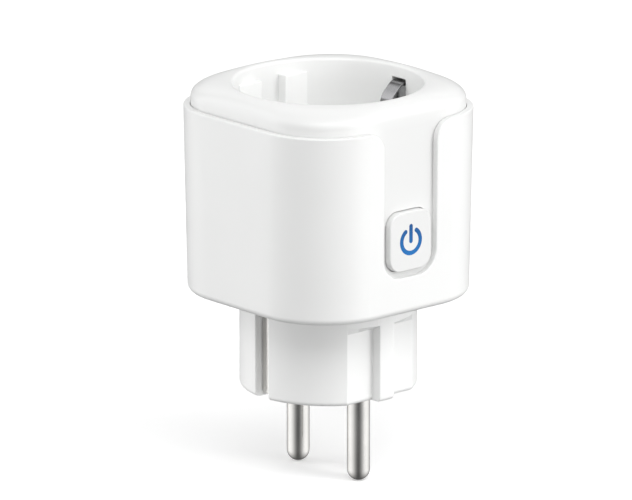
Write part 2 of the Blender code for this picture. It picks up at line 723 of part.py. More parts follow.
def button_cap():
    """The push button's cap, behind the housing's hole, with slots for the symbol."""
    centre = (0, BUTTON_Z)
    flange_front = -(HOUSING_HALF - HOUSING_WALL) + GAP
    flange_back = flange_front + BUTTON_FLANGE_THICK
    face = rounded_rectangle(BUTTON_HALF_X, BUTTON_HALF_Z, BUTTON_CORNER, centre)
    origin = (0, BUTTON_FACE_Y, BUTTON_Z)
    cap = prism("button_cap", face, BUTTON_FACE_Y, flange_back, "Y", "white_gloss", origin)
    wide = BUTTON_FLANGE
    flange = rounded_rectangle(BUTTON_HALF_X + wide, BUTTON_HALF_Z + wide, BUTTON_CORNER + wide, centre)
    join(cap, prism("button_flange", flange, flange_front, flange_back, "Y", "white_gloss"))
    pocket_y = BUTTON_FACE_Y + BUTTON_SKIN
    pocket = circle(BUTTON_POCKET_RADIUS, 28, centre)
    cut(cap, prism("button_pocket", pocket, pocket_y, flange_back + 1, "Y", "white_gloss"))
    for index, outline in enumerate((icon_outline(ICON_CLEARANCE), icon_bar(ICON_CLEARANCE))):
        slot = (BUTTON_FACE_Y - 1, pocket_y + 1)
        cut(cap, prism(f"icon_slot_{index}", outline, *slot, "Y", "white_gloss"))


def button_icon():
    """The light guide: the raised symbol, the plate behind it and the post that presses the switch."""
    centre = (0, BUTTON_Z)
    plate_y = BUTTON_FACE_Y + BUTTON_SKIN + GAP
    plate_back = plate_y + GUIDE_PLATE_THICK
    plate = circle(GUIDE_PLATE_RADIUS, 28, centre)
    origin = (0, BUTTON_FACE_Y, BUTTON_Z)
    guide = prism("button_icon", plate, plate_y, plate_back, "Y", "blue_light", origin)
    inside = (plate_y + plate_back) / 2
    for index, outline in enumerate((icon_outline(0), icon_bar(0))):
        join(guide, prism(f"icon_raised_{index}", outline, BUTTON_FACE_Y, inside, "Y", "blue_light"))
    post = circle(PRESS_POST_RADIUS, 16, centre)
    join(guide, prism("button_press_post", post, inside, PRESS_POST_END_Y, "Y", "blue_light"))


def control_board():
    """The board behind the button, with its light and the header that joins it to the mains board."""
    back = CONTROL_BOARD_Y + CONTROL_BOARD_THICK
    half = CONTROL_BOARD_HALF
    low = (-half, CONTROL_BOARD_Y, UPRIGHT_BOARD_Z)
    box("control_board", low, (half, back, CONTROL_BOARD_TOP_Z), "green_board")
    front = CONTROL_BOARD_Y - GAP
    led_low = (4.2, front - 1.6, BUTTON_Z - 1.4)
    box("status_led", led_low, (7.7, front, BUTTON_Z + 1.4), "led_lens")
    header_low = (-5, back + GAP, PART_Z)
    box("board_header", header_low, (5, back + GAP + 2.3, PART_Z + 2.5), "black_plastic")


def push_switch():
    """The switch that the button presses: its body and the plunger in it."""
    centre = (0, BUTTON_Z)
    body_back = CONTROL_BOARD_Y - GAP
    body_front = body_back - SWITCH_DEPTH
    outline = rounded_rectangle(SWITCH_HALF, SWITCH_HALF, 0.4, centre, 2)
    body = prism("switch_body", outline, body_front, body_back, "Y", "black_plastic")
    recess = circle(PLUNGER_RADIUS + 0.35, 20, centre)
    cut(body, prism("switch_recess", recess, body_front - 1, body_front + 1.2, "Y", "black_plastic"))
    start = body_front - PLUNGER_PROUD
    origin = (0, body_front, BUTTON_Z)
    plunger = circle(PLUNGER_RADIUS, 20, centre)
    prism("switch_plunger", plunger, start, start + PLUNGER_LENGTH, "Y", "white_satin", origin)


def main_board():
    """The mains board. Its corners give way to the screw bosses."""
    outline = rounded_rectangle(BOARD_HALF, BOARD_HALF, HOUSING_CORNER - HOUSING_WALL - 0.3, steps=8)
    board = prism("main_board", outline, BOARD_Z, BOARD_TOP_Z, "Z", "green_board")
    for index, centre in enumerate(screw_centres()):
        notch = [(SCREW_BOSS_RADIUS + 0.4, BOARD_Z - 1), (SCREW_BOSS_RADIUS + 0.4, BOARD_TOP_Z + 1)]
        cut(board, turned(f"board_notch_{index}", notch, "green_board", centre, steps=18))
    for index, side in enumerate((1, -1)):
        hole = [(1.8, BOARD_Z - 1), (1.8, BOARD_TOP_Z + 1)]
        centre = (0, side * PIN_SPACING / 2)
        cut(board, turned(f"board_pin_hole_{index}", hole, "green_board", centre, steps=16))
    hole = [(2.3, BOARD_Z - 1), (2.3, BOARD_TOP_Z + 1)]
    cut(board, turned("board_earth_hole", hole, "green_board", steps=16))


def relay():
    """A sealed 16 A relay: case, base, coil on its bobbin, yoke and the armature that the coil pulls."""
    foot = PART_Z
    top = foot + RELAY_HEIGHT
    low = Vector((RELAY_LOW_X, -RELAY_HALF_Y, foot))
    high = Vector((RELAY_HIGH_X, RELAY_HALF_Y, top))
    case = box("relay_case", low, high, "dark_blue_plastic")
    wall = Vector((RELAY_WALL, RELAY_WALL, RELAY_WALL))
    below = Vector((0, 0, RELAY_WALL + 1))
    cut(case, box("relay_hollow", low + wall - below, high - wall, "dark_blue_plastic"))
    base_low = (RELAY_LOW_X + 1, 1 - RELAY_HALF_Y, foot)
    box("relay_base", base_low, (RELAY_HIGH_X - 1, RELAY_HALF_Y - 1, foot + 1.1), "black_plastic")
    relay_coil((RELAY_LOW_X + RELAY_HIGH_X) / 2, foot + 4.9)
    yoke = sheet_outline([(-9.0, foot + 1.6), (-9.0, foot + 9.2), (2.4, foot + 9.2)], ARMATURE_THICK)
    prism("relay_yoke", yoke, RELAY_LOW_X + 2.2, RELAY_HIGH_X - 2.2, "X", "steel")
    relay_armature(foot + 2.0, foot + 9.3)


def relay_coil(middle_x, axis_z):
    """The wound bobbin on its core, turned about Y."""
    cheek, winding, core = 3.4, 2.9, 1.3
    bobbin = [(cheek, -8.0), (cheek, -7.2), (winding, -7.2), (winding, 1.0), (cheek, 1.0)]
    bobbin += [(cheek, 1.8), (core, 1.8), (core, 2.3)]
    turned("relay_coil", bobbin, "copper", (middle_x, axis_z), "Y", 20)


def relay_armature(foot, pivot_z):
    """The blade that hangs from the yoke's end in front of the coil's core."""
    low = (RELAY_LOW_X + 2.4, ARMATURE_Y, foot)
    high = (RELAY_HIGH_X - 2.4, ARMATURE_Y + ARMATURE_THICK, pivot_z)
    origin = ((RELAY_LOW_X + RELAY_HIGH_X) / 2, ARMATURE_Y, pivot_z)
    box("relay_armature", low, high, "steel", origin)


def radio():
    """The radio board on edge at the left wall, with its shield can."""
    box("wifi_board", (-21.6, -8, UPRIGHT_BOARD_Z), (-20.6, 8, 37.9), "green_board")
    box("wifi_shield", (-20.3, -6.5, UPRIGHT_BOARD_Z + 0.8), (-18.2, 3.5, 37.2), "nickel")


def filter_capacitor(name, side):
    """A capacitor's can that hangs from the mains board into the boss, with its rolled bead."""
    foot = PARTS_UNDER_Z - 11.0
    bead = PARTS_UNDER_Z - 1.4
    radius = 3.15
    can = [(radius - 0.45, foot), (radius, foot + 0.5), (radius, bead - 0.4), (radius - 0.2, bead)]
    can += [(radius, bead + 0.4), (radius, PARTS_UNDER_Z)]
    turned(name, can, "black_plastic", (PARTS_UNDER_X, side * PARTS_UNDER_Y), steps=20)


def wound_drum(name, side):
    """A drum choke with its winding between two cheeks."""
    foot = PARTS_UNDER_Z - 8.0
    cheek, winding = 3.2, 2.3
    drum = [(cheek, foot), (cheek, foot + 1.2), (winding, foot + 1.4)]
    drum += [(winding, PARTS_UNDER_Z - 1.4), (cheek, PARTS_UNDER_Z - 1.2), (cheek, PARTS_UNDER_Z)]
    turned(name, drum, "ferrite", (-PARTS_UNDER_X, side * PARTS_UNDER_Y), steps=20)


def fuse_resistor():
    """A lacquered resistor that lies along Y, with its swollen ends."""
    cap, body, nose = 1.7, 1.5, 1.1
    profile = [(nose, -13.4), (cap, -13.0), (cap, -11.4), (body, -11.0)]
    profile += [(body, -7.0), (cap, -6.6), (cap, -5.0), (nose, -4.6)]
    turned("fuse_resistor", profile, "yellow_plastic", (-12.0, PART_Z + 1.8), "Y", 16)


def varistor():
    """A disc across the board behind the relay, with rounded edges."""
    radius = 4.5
    profile = [(radius - 0.5, -14.0), (radius, -13.5), (radius, -11.5), (radius - 0.5, -11.0)]
    turned("varistor", profile, "varistor_blue", (8.0, PART_Z + radius + 0.1), "X", 20)


def board_parts():
    """The film capacitor, the two chips and the shunt on the mains board."""
    film = rounded_rectangle(2.4, 5.2, 0.6, (-7.2, 0.0), 2)
    prism("film_capacitor", film, PART_Z, PART_Z + 10.0, "Z", "yellow_plastic")
    box("rectifier", (-16.9, -2.0, PART_Z), (-13.0, 2.7, PART_Z + 2.3), "black_plastic")
    box("metering_chip", (-16.9, -6.6, PART_Z), (-14.4, -2.6, PART_Z + 1.5), "black_plastic")
    top = PART_Z + 3.6
    shunt = sheet_outline([(5.2, PART_Z), (5.2, top), (11.6, top), (11.6, PART_Z)], 0.8)
    prism("current_shunt", shunt, 13.2, 15.2, "Y", "copper")


def main():
    clear_scene()
    outer_sleeve()
    socket_housing()
    plug_base()
    button_cap()
    button_icon()
    for name, side in (("line_pin", 1), ("neutral_pin", -1)):
        plug_pin(name, side)
    plug_earth_bracket()
    socket_earth()
    for name, side in (("earth_clip_right", 1), ("earth_clip_left", -1)):
        earth_clip(name, side)
    for name, side in (("contact_line", 1), ("contact_neutral", -1)):
        socket_contact(name, side)
    shutter()
    shutter_spring()
    shutter_cover()
    case_screws()
    main_board()
    control_board()
    push_switch()
    relay()
    radio()
    for index, side in enumerate((1, -1)):
        filter_capacitor(f"filter_capacitor_{index + 1}", side)
    for name, side in (("buck_inductor", 1), ("filter_choke", -1)):
        wound_drum(name, side)
    fuse_resistor()
    varistor()
    board_parts()


main()
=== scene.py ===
"""The looks of a square smart plug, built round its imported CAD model.

+Z runs along the plug's axis, from the pins to the socket, and -Y is the front with the button.
Lengths are in millimetres and become metres where a mesh is made.
"""

import math

import bmesh
import bpy
from mathutils import Matrix, Vector


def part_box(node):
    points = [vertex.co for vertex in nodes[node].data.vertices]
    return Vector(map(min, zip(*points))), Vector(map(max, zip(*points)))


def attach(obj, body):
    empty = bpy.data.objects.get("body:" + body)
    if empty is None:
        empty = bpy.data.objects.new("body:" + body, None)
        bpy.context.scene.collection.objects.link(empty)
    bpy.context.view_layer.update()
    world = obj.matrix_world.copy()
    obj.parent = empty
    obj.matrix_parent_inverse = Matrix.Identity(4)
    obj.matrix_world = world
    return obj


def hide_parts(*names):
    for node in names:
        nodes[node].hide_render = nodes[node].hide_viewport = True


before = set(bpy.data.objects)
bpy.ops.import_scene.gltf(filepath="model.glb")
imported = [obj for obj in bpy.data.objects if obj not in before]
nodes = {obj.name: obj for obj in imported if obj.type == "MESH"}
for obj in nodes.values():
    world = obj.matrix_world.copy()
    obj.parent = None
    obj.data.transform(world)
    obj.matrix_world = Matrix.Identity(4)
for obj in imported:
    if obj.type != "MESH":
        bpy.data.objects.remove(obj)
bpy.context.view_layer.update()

MM = 0.001
GAP = 0.3


def low(node):
    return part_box(node)[0] / MM


def high(node):
    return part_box(node)[1] / MM


# Sleeve.
RIM_Z = high("outer_sleeve").z
SLEEVE_BASE_Z = low("outer_sleeve").z
RIM_HALF = high("outer_sleeve").x
RIM_CORNER = 15.3
BASE_HALF = RIM_HALF - 0.3
BASE_CORNER = 16.0
SLEEVE_EDGE = 1.5
SLEEVE_WALL = 1.2
SLEEVE_BASE_WALL = SLEEVE_WALL - (RIM_HALF - BASE_HALF)
SLEEVE_HOLE_RADIUS = 19.0
RIM_EDGE = 0.32
RIM_INNER_EDGE = 0.15
CHANNEL_HALF = 7.2
CHANNEL_FOOT_Z = 28.1
CHANNEL_FOOT_RADIUS = 4.75
CHANNEL_EAR_RADIUS = 4.2

# The sleeve's rim is thicker by this much, so that the seam is finer than the CAD's working gap.
SEAM_FILL = 0.2

# The sleeve's columns: how far the front's run to each side, the X at which the channel's corner, its wall
# and its ear start at the foot, and how many columns the flats' halves and the corners have.
FRONT_REACH = 12.0
CHANNEL_FOOT_PLACES = (2.8, 8.3, 9.3)
FLAT_STEPS = 8
CORNER_STEPS = 25

# Inner housing with the socket's well.
HOUSING_HALF = high("socket_housing").x
HOUSING_CORNER = RIM_CORNER - SLEEVE_WALL - GAP
HOUSING_WALL = 1.3
HOUSING_FOOT_Z = low("socket_housing").z
TOP_Z = high("socket_housing").z
LIP_START_Z = RIM_Z
CROWN_START_Z = 61.5
CROWN_SQUARENESS = 2.3
WELL_RADIUS = 19.75
WELL_WALL = 1.55
WELL_EDGE = 0.6
WELL_LEAN = 0.1
WELL_FLOOR_Z = 46.5
WELL_UNDER_Z = 44.5
FLOOR_RING_RADIUS = 8.0
PIN_PLACE = 9.5
PIN_ENTRY_RADIUS = 3.0
PIN_ENTRY_CHAMFER = 0.8
GUIDE_FACE_Y = 17.1
GUIDE_INNER_X = 3.26
GUIDE_OUTER_X = 9.4
GUIDE_OUTER_DEPTH = 1.0
GUIDE_INNER_DEPTH = 3.0
GUIDE_TOP_Z = 62.1
GUIDE_EDGE = 0.22
EARTH_SLOT_HALF = 2.15
EARTH_SLOT_TOP_Z = 62.2
EARTH_SLOT_INSET = 0.75
SCREW_PLACE = 16.0
SCREW_BOSS_RADIUS = 2.6
SCREW_BOSS_TOP_Z = 46.0
SCREW_PILOT_RADIUS = 1.3
SCREW_PILOT_DEPTH = 12.0
SHUTTER_PIVOT_RADIUS = 2.0
COVER_POST_RADIUS = 2.1
COVER_PILOT_RADIUS = 1.1
COVER_PILOT_TOP_Z = WELL_UNDER_Z + 0.9

# Plug boss and pins.
PLUG_RADIUS = 18.5
PLUG_EDGE = 1.0
PLUG_INNER_RADIUS = 14.3
PLUG_FLOOR = 2.6
FLANGE_Z = 22.0
FLANGE_TOP_Z = high("plug_base").z
FLAT_Y = 16.15
FLAT_TOP_Z = 15.35
FLAT_SLOPE = 1.2
FLAT_MARGIN = 0.8
RIB_HALF = 2.0
BOSS_SLOT_HALF = 1.95
BOSS_SLOT_FLOOR = 15.55
SLOT_FLOOR_BEND = 0.2
SLOT_MOUTH_BEND = 0.3
FLAT_END_BEND = 0.4
RIB_FOOT_BEND = 0.25
RIB_TOP_BEND = 0.3
BRIDGE_DEPTH = 1.0
BRIDGE_INSET = 0.2
SCREW_RECESS_RADIUS = 2.7
SCREW_RECESS_DEPTH = 1.3
PIN_RADIUS = 2.4
PIN_TIP_Z = low("line_pin").z
PIN_HOLE_CLEARANCE = 0.12
PIN_HOLE_MOUTH = 0.55
PIN_HOLE_CHAMFER = 0.45
PIN_COLLAR_RADIUS = 3.3
PIN_COLLAR_THICK = 1.2
PIN_TAIL_RADIUS = 1.5

# Button.
BUTTON_FACE_Y = low("button_cap").y
BUTTON_BACK_Y = high("button_cap").y
BUTTON_Z = (low("button_cap").z + high("button_cap").z) / 2
BUTTON_HALF_X = 5.7
BUTTON_HALF_Z = 6.25
BUTTON_CORNER = 3.0
BUTTON_EDGE = 0.32
BUTTON_CLEARANCE = 0.16
BUTTON_SKIN = 1.25
BUTTON_FLANGE = 1.0
BUTTON_FLANGE_THICK = 0.8
BUTTON_POCKET_RADIUS = 4.6
GUIDE_PLATE_RADIUS = 4.2
GUIDE_PLATE_THICK = 0.9
PRESS_POST_RADIUS = 1.5
ICON_PROUD = 0.02
ICON_RADIUS = 2.55
ICON_STROKE = 0.95
ICON_GAP_ANGLE = 35.0
ICON_BAR_TOP = 3.6
ICON_BAR_FOOT = -0.5

# Sprung earth contacts: where they stand, and their middle line over the top and down the nose as (x, z).
CLIP_X = 20.85
CLIP_THICK = 0.5
CLIP_HALF = 1.75
CLIP_EDGE = 0.08
CLIP_BEND = [(CLIP_X, 59.0), (20.72, 60.5), (19.9, 61.25), (19.0, 61.1), (17.75, 60.0), (16.75, 58.9)]
CLIP_NOSE = [(16.2, 57.6), (16.4, 56.0), (17.45, 54.0), (18.25, 52.6), (18.9, 51.6)]

# Edges of the carried-over nodes, for the finishes that differ from the usual width.
EDGE_WIDTH = 0.15
EDGE_WIDTHS = {"board": 0.08, "board_upright": 0.08, "steel": 0.05, "earth": 0.1, "copper": 0.05}

# The white of the case, the painted light and shade on the housing's white (painted shade on the skirt and
# the lip, painted light in the well and on the guide blocks),
# and where those fade into each other: in millimetres out from the well's wall and up from the lip's start.
WHITE = (0.835, 0.838, 0.832)
SKIRT_PAINTED_SHADE = 0.90
LIP_PAINTED_SHADE = 0.955
WELL_PAINTED_LIGHT = 1.04
GUIDE_PAINTED_LIGHT = 1.12
WELL_LIGHT_FADE = (-0.3, 1.2)
LIP_SHADE_FADE = (-0.5, 2.5)

# Circuit boards and metal.
BOARD_GREEN = (0.012, 0.105, 0.048)
TRACK_GREEN = (0.05, 0.24, 0.10)
STREAK_DEPTH = 0.0015

# Camera: the photograph's angle, through a long lens.
CAMERA_AZIMUTH = -41.4
CAMERA_ELEVATION = 15.3
CAMERA_DISTANCE = 1640.0
CAMERA_LENS = 450.0
CAMERA_AIM_Z = 28.6
CAMERA_AIM_LEFT = 2.54

# How bright the room is all round, and at its sides above and below the floor's level.
ROOM_BASE = 0.1
ROOM_ABOVE = 0.95
ROOM_BELOW = 1.4
FLOOR_HALF = 3000.0
FLOOR_THICK = 3.0

# Edges with a greater angle than this, in degrees, stay sharp: usually, on bent walls and on the base.
SHARP_ANGLE = 32.0
BENT_SHARP_ANGLE = 50.0
BASE_SHARP_ANGLE = 25.0

# How far tools reach past what they cut or join, and the signs of X and Y at a square's four corners.
OVERLAP = 1.0
CORNERS = ((1, 1), (-1, 1), (-1, -1), (1, -1))


def arc(centre, radius, start, end, steps):
    """Points of an arc, with its angles in degrees."""
    angles = [math.radians(start + (end - start) * i / steps) for i in range(steps + 1)]
    return [(centre[0] + radius * math.cos(a), centre[1] + radius * math.sin(a)) for a in angles]


def quarter_turn(steps):
    """Angles from 0 to a right angle, in radians."""
    return [math.pi / 2 * i / steps for i in range(steps + 1)]


def circle(radius, steps, centre=(0, 0)):
    return arc(centre, radius, 0, 360 - 360 / steps, steps - 1)


def rounded_rectangle(half_u, half_v, corner, centre=(0, 0), steps=10):
    points = []
    for quarter, (su, sv) in enumerate(CORNERS):
        middle = (centre[0] + su * (half_u - corner), centre[1] + sv * (half_v - corner))
        points += arc(middle, corner, 90 * quarter, 90 * quarter + 90, steps)
    return points


def place(u, v, along, axis):
    """A point on an outline that is pushed along Y or Z."""
    return (u, along, v) if axis == "Y" else (u, v, along)


def rings_mesh(rings, loop=False):
    """A bmesh through rings of points. Open ends close with one face."""
    mesh = bmesh.new()
    rows = [[mesh.verts.new(point) for point in ring] for ring in rings]
    pairs = list(zip(rows, rows[1:]))
    if loop:
        pairs.append((rows[-1], rows[0]))
    for first, second in pairs:
        count = len(first)
        for i in range(count):
            after = (i + 1) % count
            mesh.faces.new((first[i], first[after], second[after], second[i]))
    if not loop:
        mesh.faces.new(rows[0][::-1])
        mesh.faces.new(rows[-1])
    return mesh


def object_from(name, mesh, material=None, sharp=SHARP_ANGLE):
    """An object from a bmesh in millimetres."""
    bmesh.ops.scale(mesh, vec=(MM, MM, MM), verts=mesh.verts)
    bmesh.ops.recalc_face_normals(mesh, faces=mesh.faces)
    data = bpy.data.meshes.new(name)
    mesh.to_mesh(data)
    mesh.free()
    data.shade_smooth()
    data.set_sharp_from_angle(angle=math.radians(sharp))
    if material:
        data.materials.append(material)
    item = bpy.data.objects.new(name, data)
    bpy.context.scene.collection.objects.link(item)
    return item


def prism(name, outline, start, end, axis, material=None):
    rings = [[place(u, v, along, axis) for u, v in outline] for along in (start, end)]
    return object_from(name, rings_mesh(rings), material)


def box(name, corner_a, corner_b):
    (ax, ay, az), (bx, by, bz) = corner_a, corner_b
    return prism(name, [(ax, ay), (bx, ay), (bx, by), (ax, by)], az, bz, "Z")


def turned(name, profile, centre=(0, 0), steps=48, material=None):
    """A solid turned about Z from (radius, z) points."""
    rings = [[(x, y, z) for x, y in circle(radius, steps, centre)] for radius, z in profile]
    return object_from(name, rings_mesh(rings), material)


def rod(name, radius, start, end, centre, steps):
    """A plain round rod, used as a post or as the tool of a hole."""
    return turned(name, [(radius, start), (radius, end)], centre, steps)


def apply_modifiers(item):
    """Replaces an object's mesh with what its modifiers make, and marks its sharp edges again."""
    graph = bpy.context.evaluated_depsgraph_get()
    data = bpy.data.meshes.new_from_object(item.evaluated_get(graph), depsgraph=graph)
    item.modifiers.clear()
    item.data = data
    data.shade_smooth()
    data.set_sharp_from_angle(angle=math.radians(SHARP_ANGLE))


def combine(target, tool, operation):
    """A Boolean whose tool is used up."""
    modifier = target.modifiers.new("combine", "BOOLEAN")
    modifier.operation = operation
    modifier.solver = "EXACT"
    modifier.object = tool
    bpy.context.view_layer.update()
    apply_modifiers(target)
    bpy.data.objects.remove(tool, do_unlink=True)


def cut(target, tool):
    combine(target, tool, "DIFFERENCE")


def join(target, tool):
    combine(target, tool, "UNION")


def soften(item, width, angle=SHARP_ANGLE):
    """Rounds an object's hard edges, and keeps its flat faces flat in the light."""
    bevel = item.modifiers.new("edges", "BEVEL")
    bevel.width = width * MM
    bevel.segments = 2
    bevel.limit_method = "ANGLE"
    bevel.angle_limit = math.radians(angle)
    flat_light(item)


def flat_light(item):
    """Lets large flat faces set the normals beside them, so that they shade evenly."""
    weighted = item.modifiers.new("even_light", "WEIGHTED_NORMAL")
    weighted.keep_sharp = True
    weighted.weight = 80


def piece(item, body, slot, *replaced):
    """Attaches a finished piece to the body it rides on and hides the CAD nodes that it stands for. The
    slot is not used.
    """
    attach(item, body)
    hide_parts(*replaced)


# ---------------------------------------------------------------- materials


class Nodes:
    """A small helper for building one material's node tree."""

    def __init__(self, name):
        self.material = bpy.data.materials.new(name)
        self.material.use_nodes = True
        self.tree = self.material.node_tree
        self.shader = self.tree.nodes["Principled BSDF"]
        self.coordinates = self.add("ShaderNodeTexCoord").outputs["Object"]

    def add(self, kind, **values):
        node = self.tree.nodes.new(kind)
        for key, value in values.items():
            setattr(node, key, value)
        return node

    def link(self, source, target):
        self.tree.links.new(source, target)

    def set(self, **values):
        for key, value in values.items():
            self.shader.inputs[key.replace("_", " ")].default_value = value

    def noise(self, scale, detail=3.0, stretch=(1, 1, 1)):
        """A noise texture in the object's own metres, as a value from 0 to 1."""
        mapping = self.add("ShaderNodeMapping")
        mapping.inputs["Scale"].default_value = stretch
        self.link(self.coordinates, mapping.inputs["Vector"])
        node = self.add("ShaderNodeTexNoise")
        node.inputs["Scale"].default_value = scale
        node.inputs["Detail"].default_value = detail
        self.link(mapping.outputs["Vector"], node.inputs["Vector"])
        return node.outputs["Fac"]

    def ramp(self, value, stops):
        """Colours along a value, from (position, colour) stops."""
        node = self.add("ShaderNodeValToRGB")
        elements = node.color_ramp.elements
        while len(elements) < len(stops):
            elements.new(0.5)
        for element, (position, color) in zip(elements, stops):
            element.position = position
            element.color = (*color, 1.0)
        self.link(value, node.inputs["Fac"])
        return node.outputs["Color"]

    def spread(self, value, lowest, highest, start=0.3, end=0.7):
        """A value mapped from one range to another."""
        node = self.add("ShaderNodeMapRange")
        node.inputs["From Min"].default_value = start
        node.inputs["From Max"].default_value = end
        node.inputs["To Min"].default_value = lowest
        node.inputs["To Max"].default_value = highest
        self.link(value, node.inputs["Value"])
        return node.outputs["Result"]

    def add_up(self, first, second, share):
        """first plus share times second."""
        node = self.add("ShaderNodeMath", operation="MULTIPLY_ADD")
        self.link(second, node.inputs[0])
        node.inputs[1].default_value = share
        self.link(first, node.inputs[2])
        return node.outputs["Value"]

    def color(self, source):
        self.link(source, self.shader.inputs["Base Color"])

    def rough(self, source):
        self.link(source, self.shader.inputs["Roughness"])

    def bump(self, height, distance):
        """Bump with its height in millimetres."""
        node = self.add("ShaderNodeBump")
        node.inputs["Strength"].default_value = 1.0
        node.inputs["Distance"].default_value = distance * MM
        self.link(height, node.inputs["Height"])
        self.link(node.outputs["Normal"], self.shader.inputs["Normal"])


def tint(color, factor):
    return tuple(min(1.0, channel * factor) for channel in color)


def moulded(name, color, roughness, grain=0.003, peel=0.002, coat=0.0):
    """Moulded plastic: faint tone drift, a fine grain and the slow waviness of a moulded wall."""
    made = Nodes(name)
    drift = made.noise(45.0, 2.0)
    speck = made.noise(2600.0, 2.0)
    tone = made.add_up(drift, speck, 0.25)
    made.color(made.ramp(tone, [(0.35, tint(color, 0.985)), (0.85, tint(color, 1.01))]))
    moulded_surface(made, roughness, grain, peel)
    made.set(Coat_Weight=coat, Coat_Roughness=0.12)
    return made.material


def moulded_surface(made, roughness, grain, peel):
    """A moulded wall's sheen: patchy roughness, a fine grain and slow waves."""
    made.rough(made.spread(made.noise(220.0, 4.0), roughness * 0.88, roughness * 1.14))
    fine = made.noise(5200.0, 3.0)
    wave = made.noise(60.0, 1.0)
    made.bump(made.add_up(fine, wave, peel / grain), grain)
    made.set(IOR=1.50)


def housing_painted_white():
    """The housing's white with painted light and shade: painted paler in the well and palest on the guide
    blocks, which little light reaches, and painted shade on the skirt below the lip.
    """
    made = Nodes("housing_painted_white")
    level = made.add("ShaderNodeVectorMath", operation="MULTIPLY")
    level.inputs[1].default_value = (1, 1, 0)
    made.link(made.coordinates, level.inputs[0])
    radius = made.add("ShaderNodeVectorMath", operation="LENGTH")
    made.link(level.outputs["Vector"], radius.inputs[0])
    start, end = [(WELL_RADIUS + place) * MM for place in WELL_LIGHT_FADE]
    outwards = made.spread(radius.outputs["Value"], 0.0, 1.0, start, end)
    # Painted light: the well's wall and the guide blocks inside it are painted paler, because little light
    # reaches them.
    steps = [(0.0, (1.0,) * 3), (0.12, (0.8,) * 3), (0.25, (0.8,) * 3), (1.0, (0.0,) * 3)]
    well_light_mask = made.ramp(outwards, steps)
    split = made.add("ShaderNodeSeparateXYZ")
    made.link(made.coordinates, split.inputs["Vector"])
    # Painted shade that fades out up the lip, so the skirt below it is painted darker.
    start, end = [(LIP_START_Z + place) * MM for place in LIP_SHADE_FADE]
    lip_shade_mask = made.spread(split.outputs["Z"], 0.0, 0.5, start, end)
    shade = made.add("ShaderNodeMath", operation="MAXIMUM")
    made.link(well_light_mask, shade.inputs[0])
    made.link(lip_shade_mask, shade.inputs[1])
    tone = made.add_up(shade.outputs["Value"], made.noise(45.0, 2.0), 0.05)
    # Painted shade on the skirt and lip, painted light in the well, palest on the guide blocks.
    painted_tones = [(0.0, tint(WHITE, SKIRT_PAINTED_SHADE)), (0.52, tint(WHITE, LIP_PAINTED_SHADE))]
    painted_tones += [(0.82, tint(WHITE, WELL_PAINTED_LIGHT)), (1.0, tint(WHITE, GUIDE_PAINTED_LIGHT))]
    made.color(made.ramp(tone, painted_tones))
    moulded_surface(made, 0.33, 0.003, 0.002)
    return made.material


def plated(name, color, roughness, along=(1, 1, 0.04), streak=1800.0):
    """Plated or drawn metal with fine lines along one axis."""
    made = Nodes(name)
    lines = made.noise(streak, 4.0, along)
    cloud = made.noise(160.0, 3.0)
    made.color(made.ramp(cloud, [(0.3, tint(color, 0.94)), (0.75, tint(color, 1.03))]))
    made.rough(made.spread(made.add_up(lines, cloud, 0.5), roughness * 0.75, roughness * 1.35, 0.45, 1.05))
    made.bump(lines, STREAK_DEPTH)
    made.set(Metallic=1.0)
    return made.material


def circuit_board(name, turn):
    """Solder mask over copper tracks, which show as paler lines in an uneven grid."""
    made = Nodes(name)
    bricks = made.add("ShaderNodeTexBrick", offset=0.37, squash=0.6)
    mapping = made.add("ShaderNodeMapping")
    mapping.inputs["Rotation"].default_value = turn
    made.link(made.coordinates, mapping.inputs["Vector"])
    made.link(mapping.outputs["Vector"], bricks.inputs["Vector"])
    bricks.inputs["Scale"].default_value = 90.0
    bricks.inputs["Mortar Size"].default_value = 0.035
    bricks.inputs["Color1"].default_value = (*BOARD_GREEN, 1)
    bricks.inputs["Color2"].default_value = (*tint(BOARD_GREEN, 0.85), 1)
    bricks.inputs["Mortar"].default_value = (*TRACK_GREEN, 1)
    made.color(bricks.outputs["Color"])
    made.rough(made.spread(made.noise(900.0), 0.28, 0.42))
    made.bump(bricks.outputs["Fac"], 0.03)
    made.set(IOR=1.5)
    return made.material


def icon_blue():
    """The lit symbol: a clear blue that deepens towards the top."""
    made = Nodes("icon_blue")
    split = made.add("ShaderNodeSeparateXYZ")
    made.link(made.coordinates, split.inputs["Vector"])
    height = made.spread(
        split.outputs["Z"], 0.0, 1.0, (BUTTON_Z - 3.2) * MM, (BUTTON_Z + 3.8) * MM
    )
    mottle = made.add_up(height, made.noise(1500.0, 2.0), 0.06)
    made.color(made.ramp(mottle, [(0.1, (0.003, 0.150, 0.450)), (0.95, (0.003, 0.080, 0.270))]))
    made.rough(made.spread(made.noise(2200.0, 3.0), 0.30, 0.42))
    made.set(IOR=1.49, Specular_IOR_Level=0.25)
    return made.material


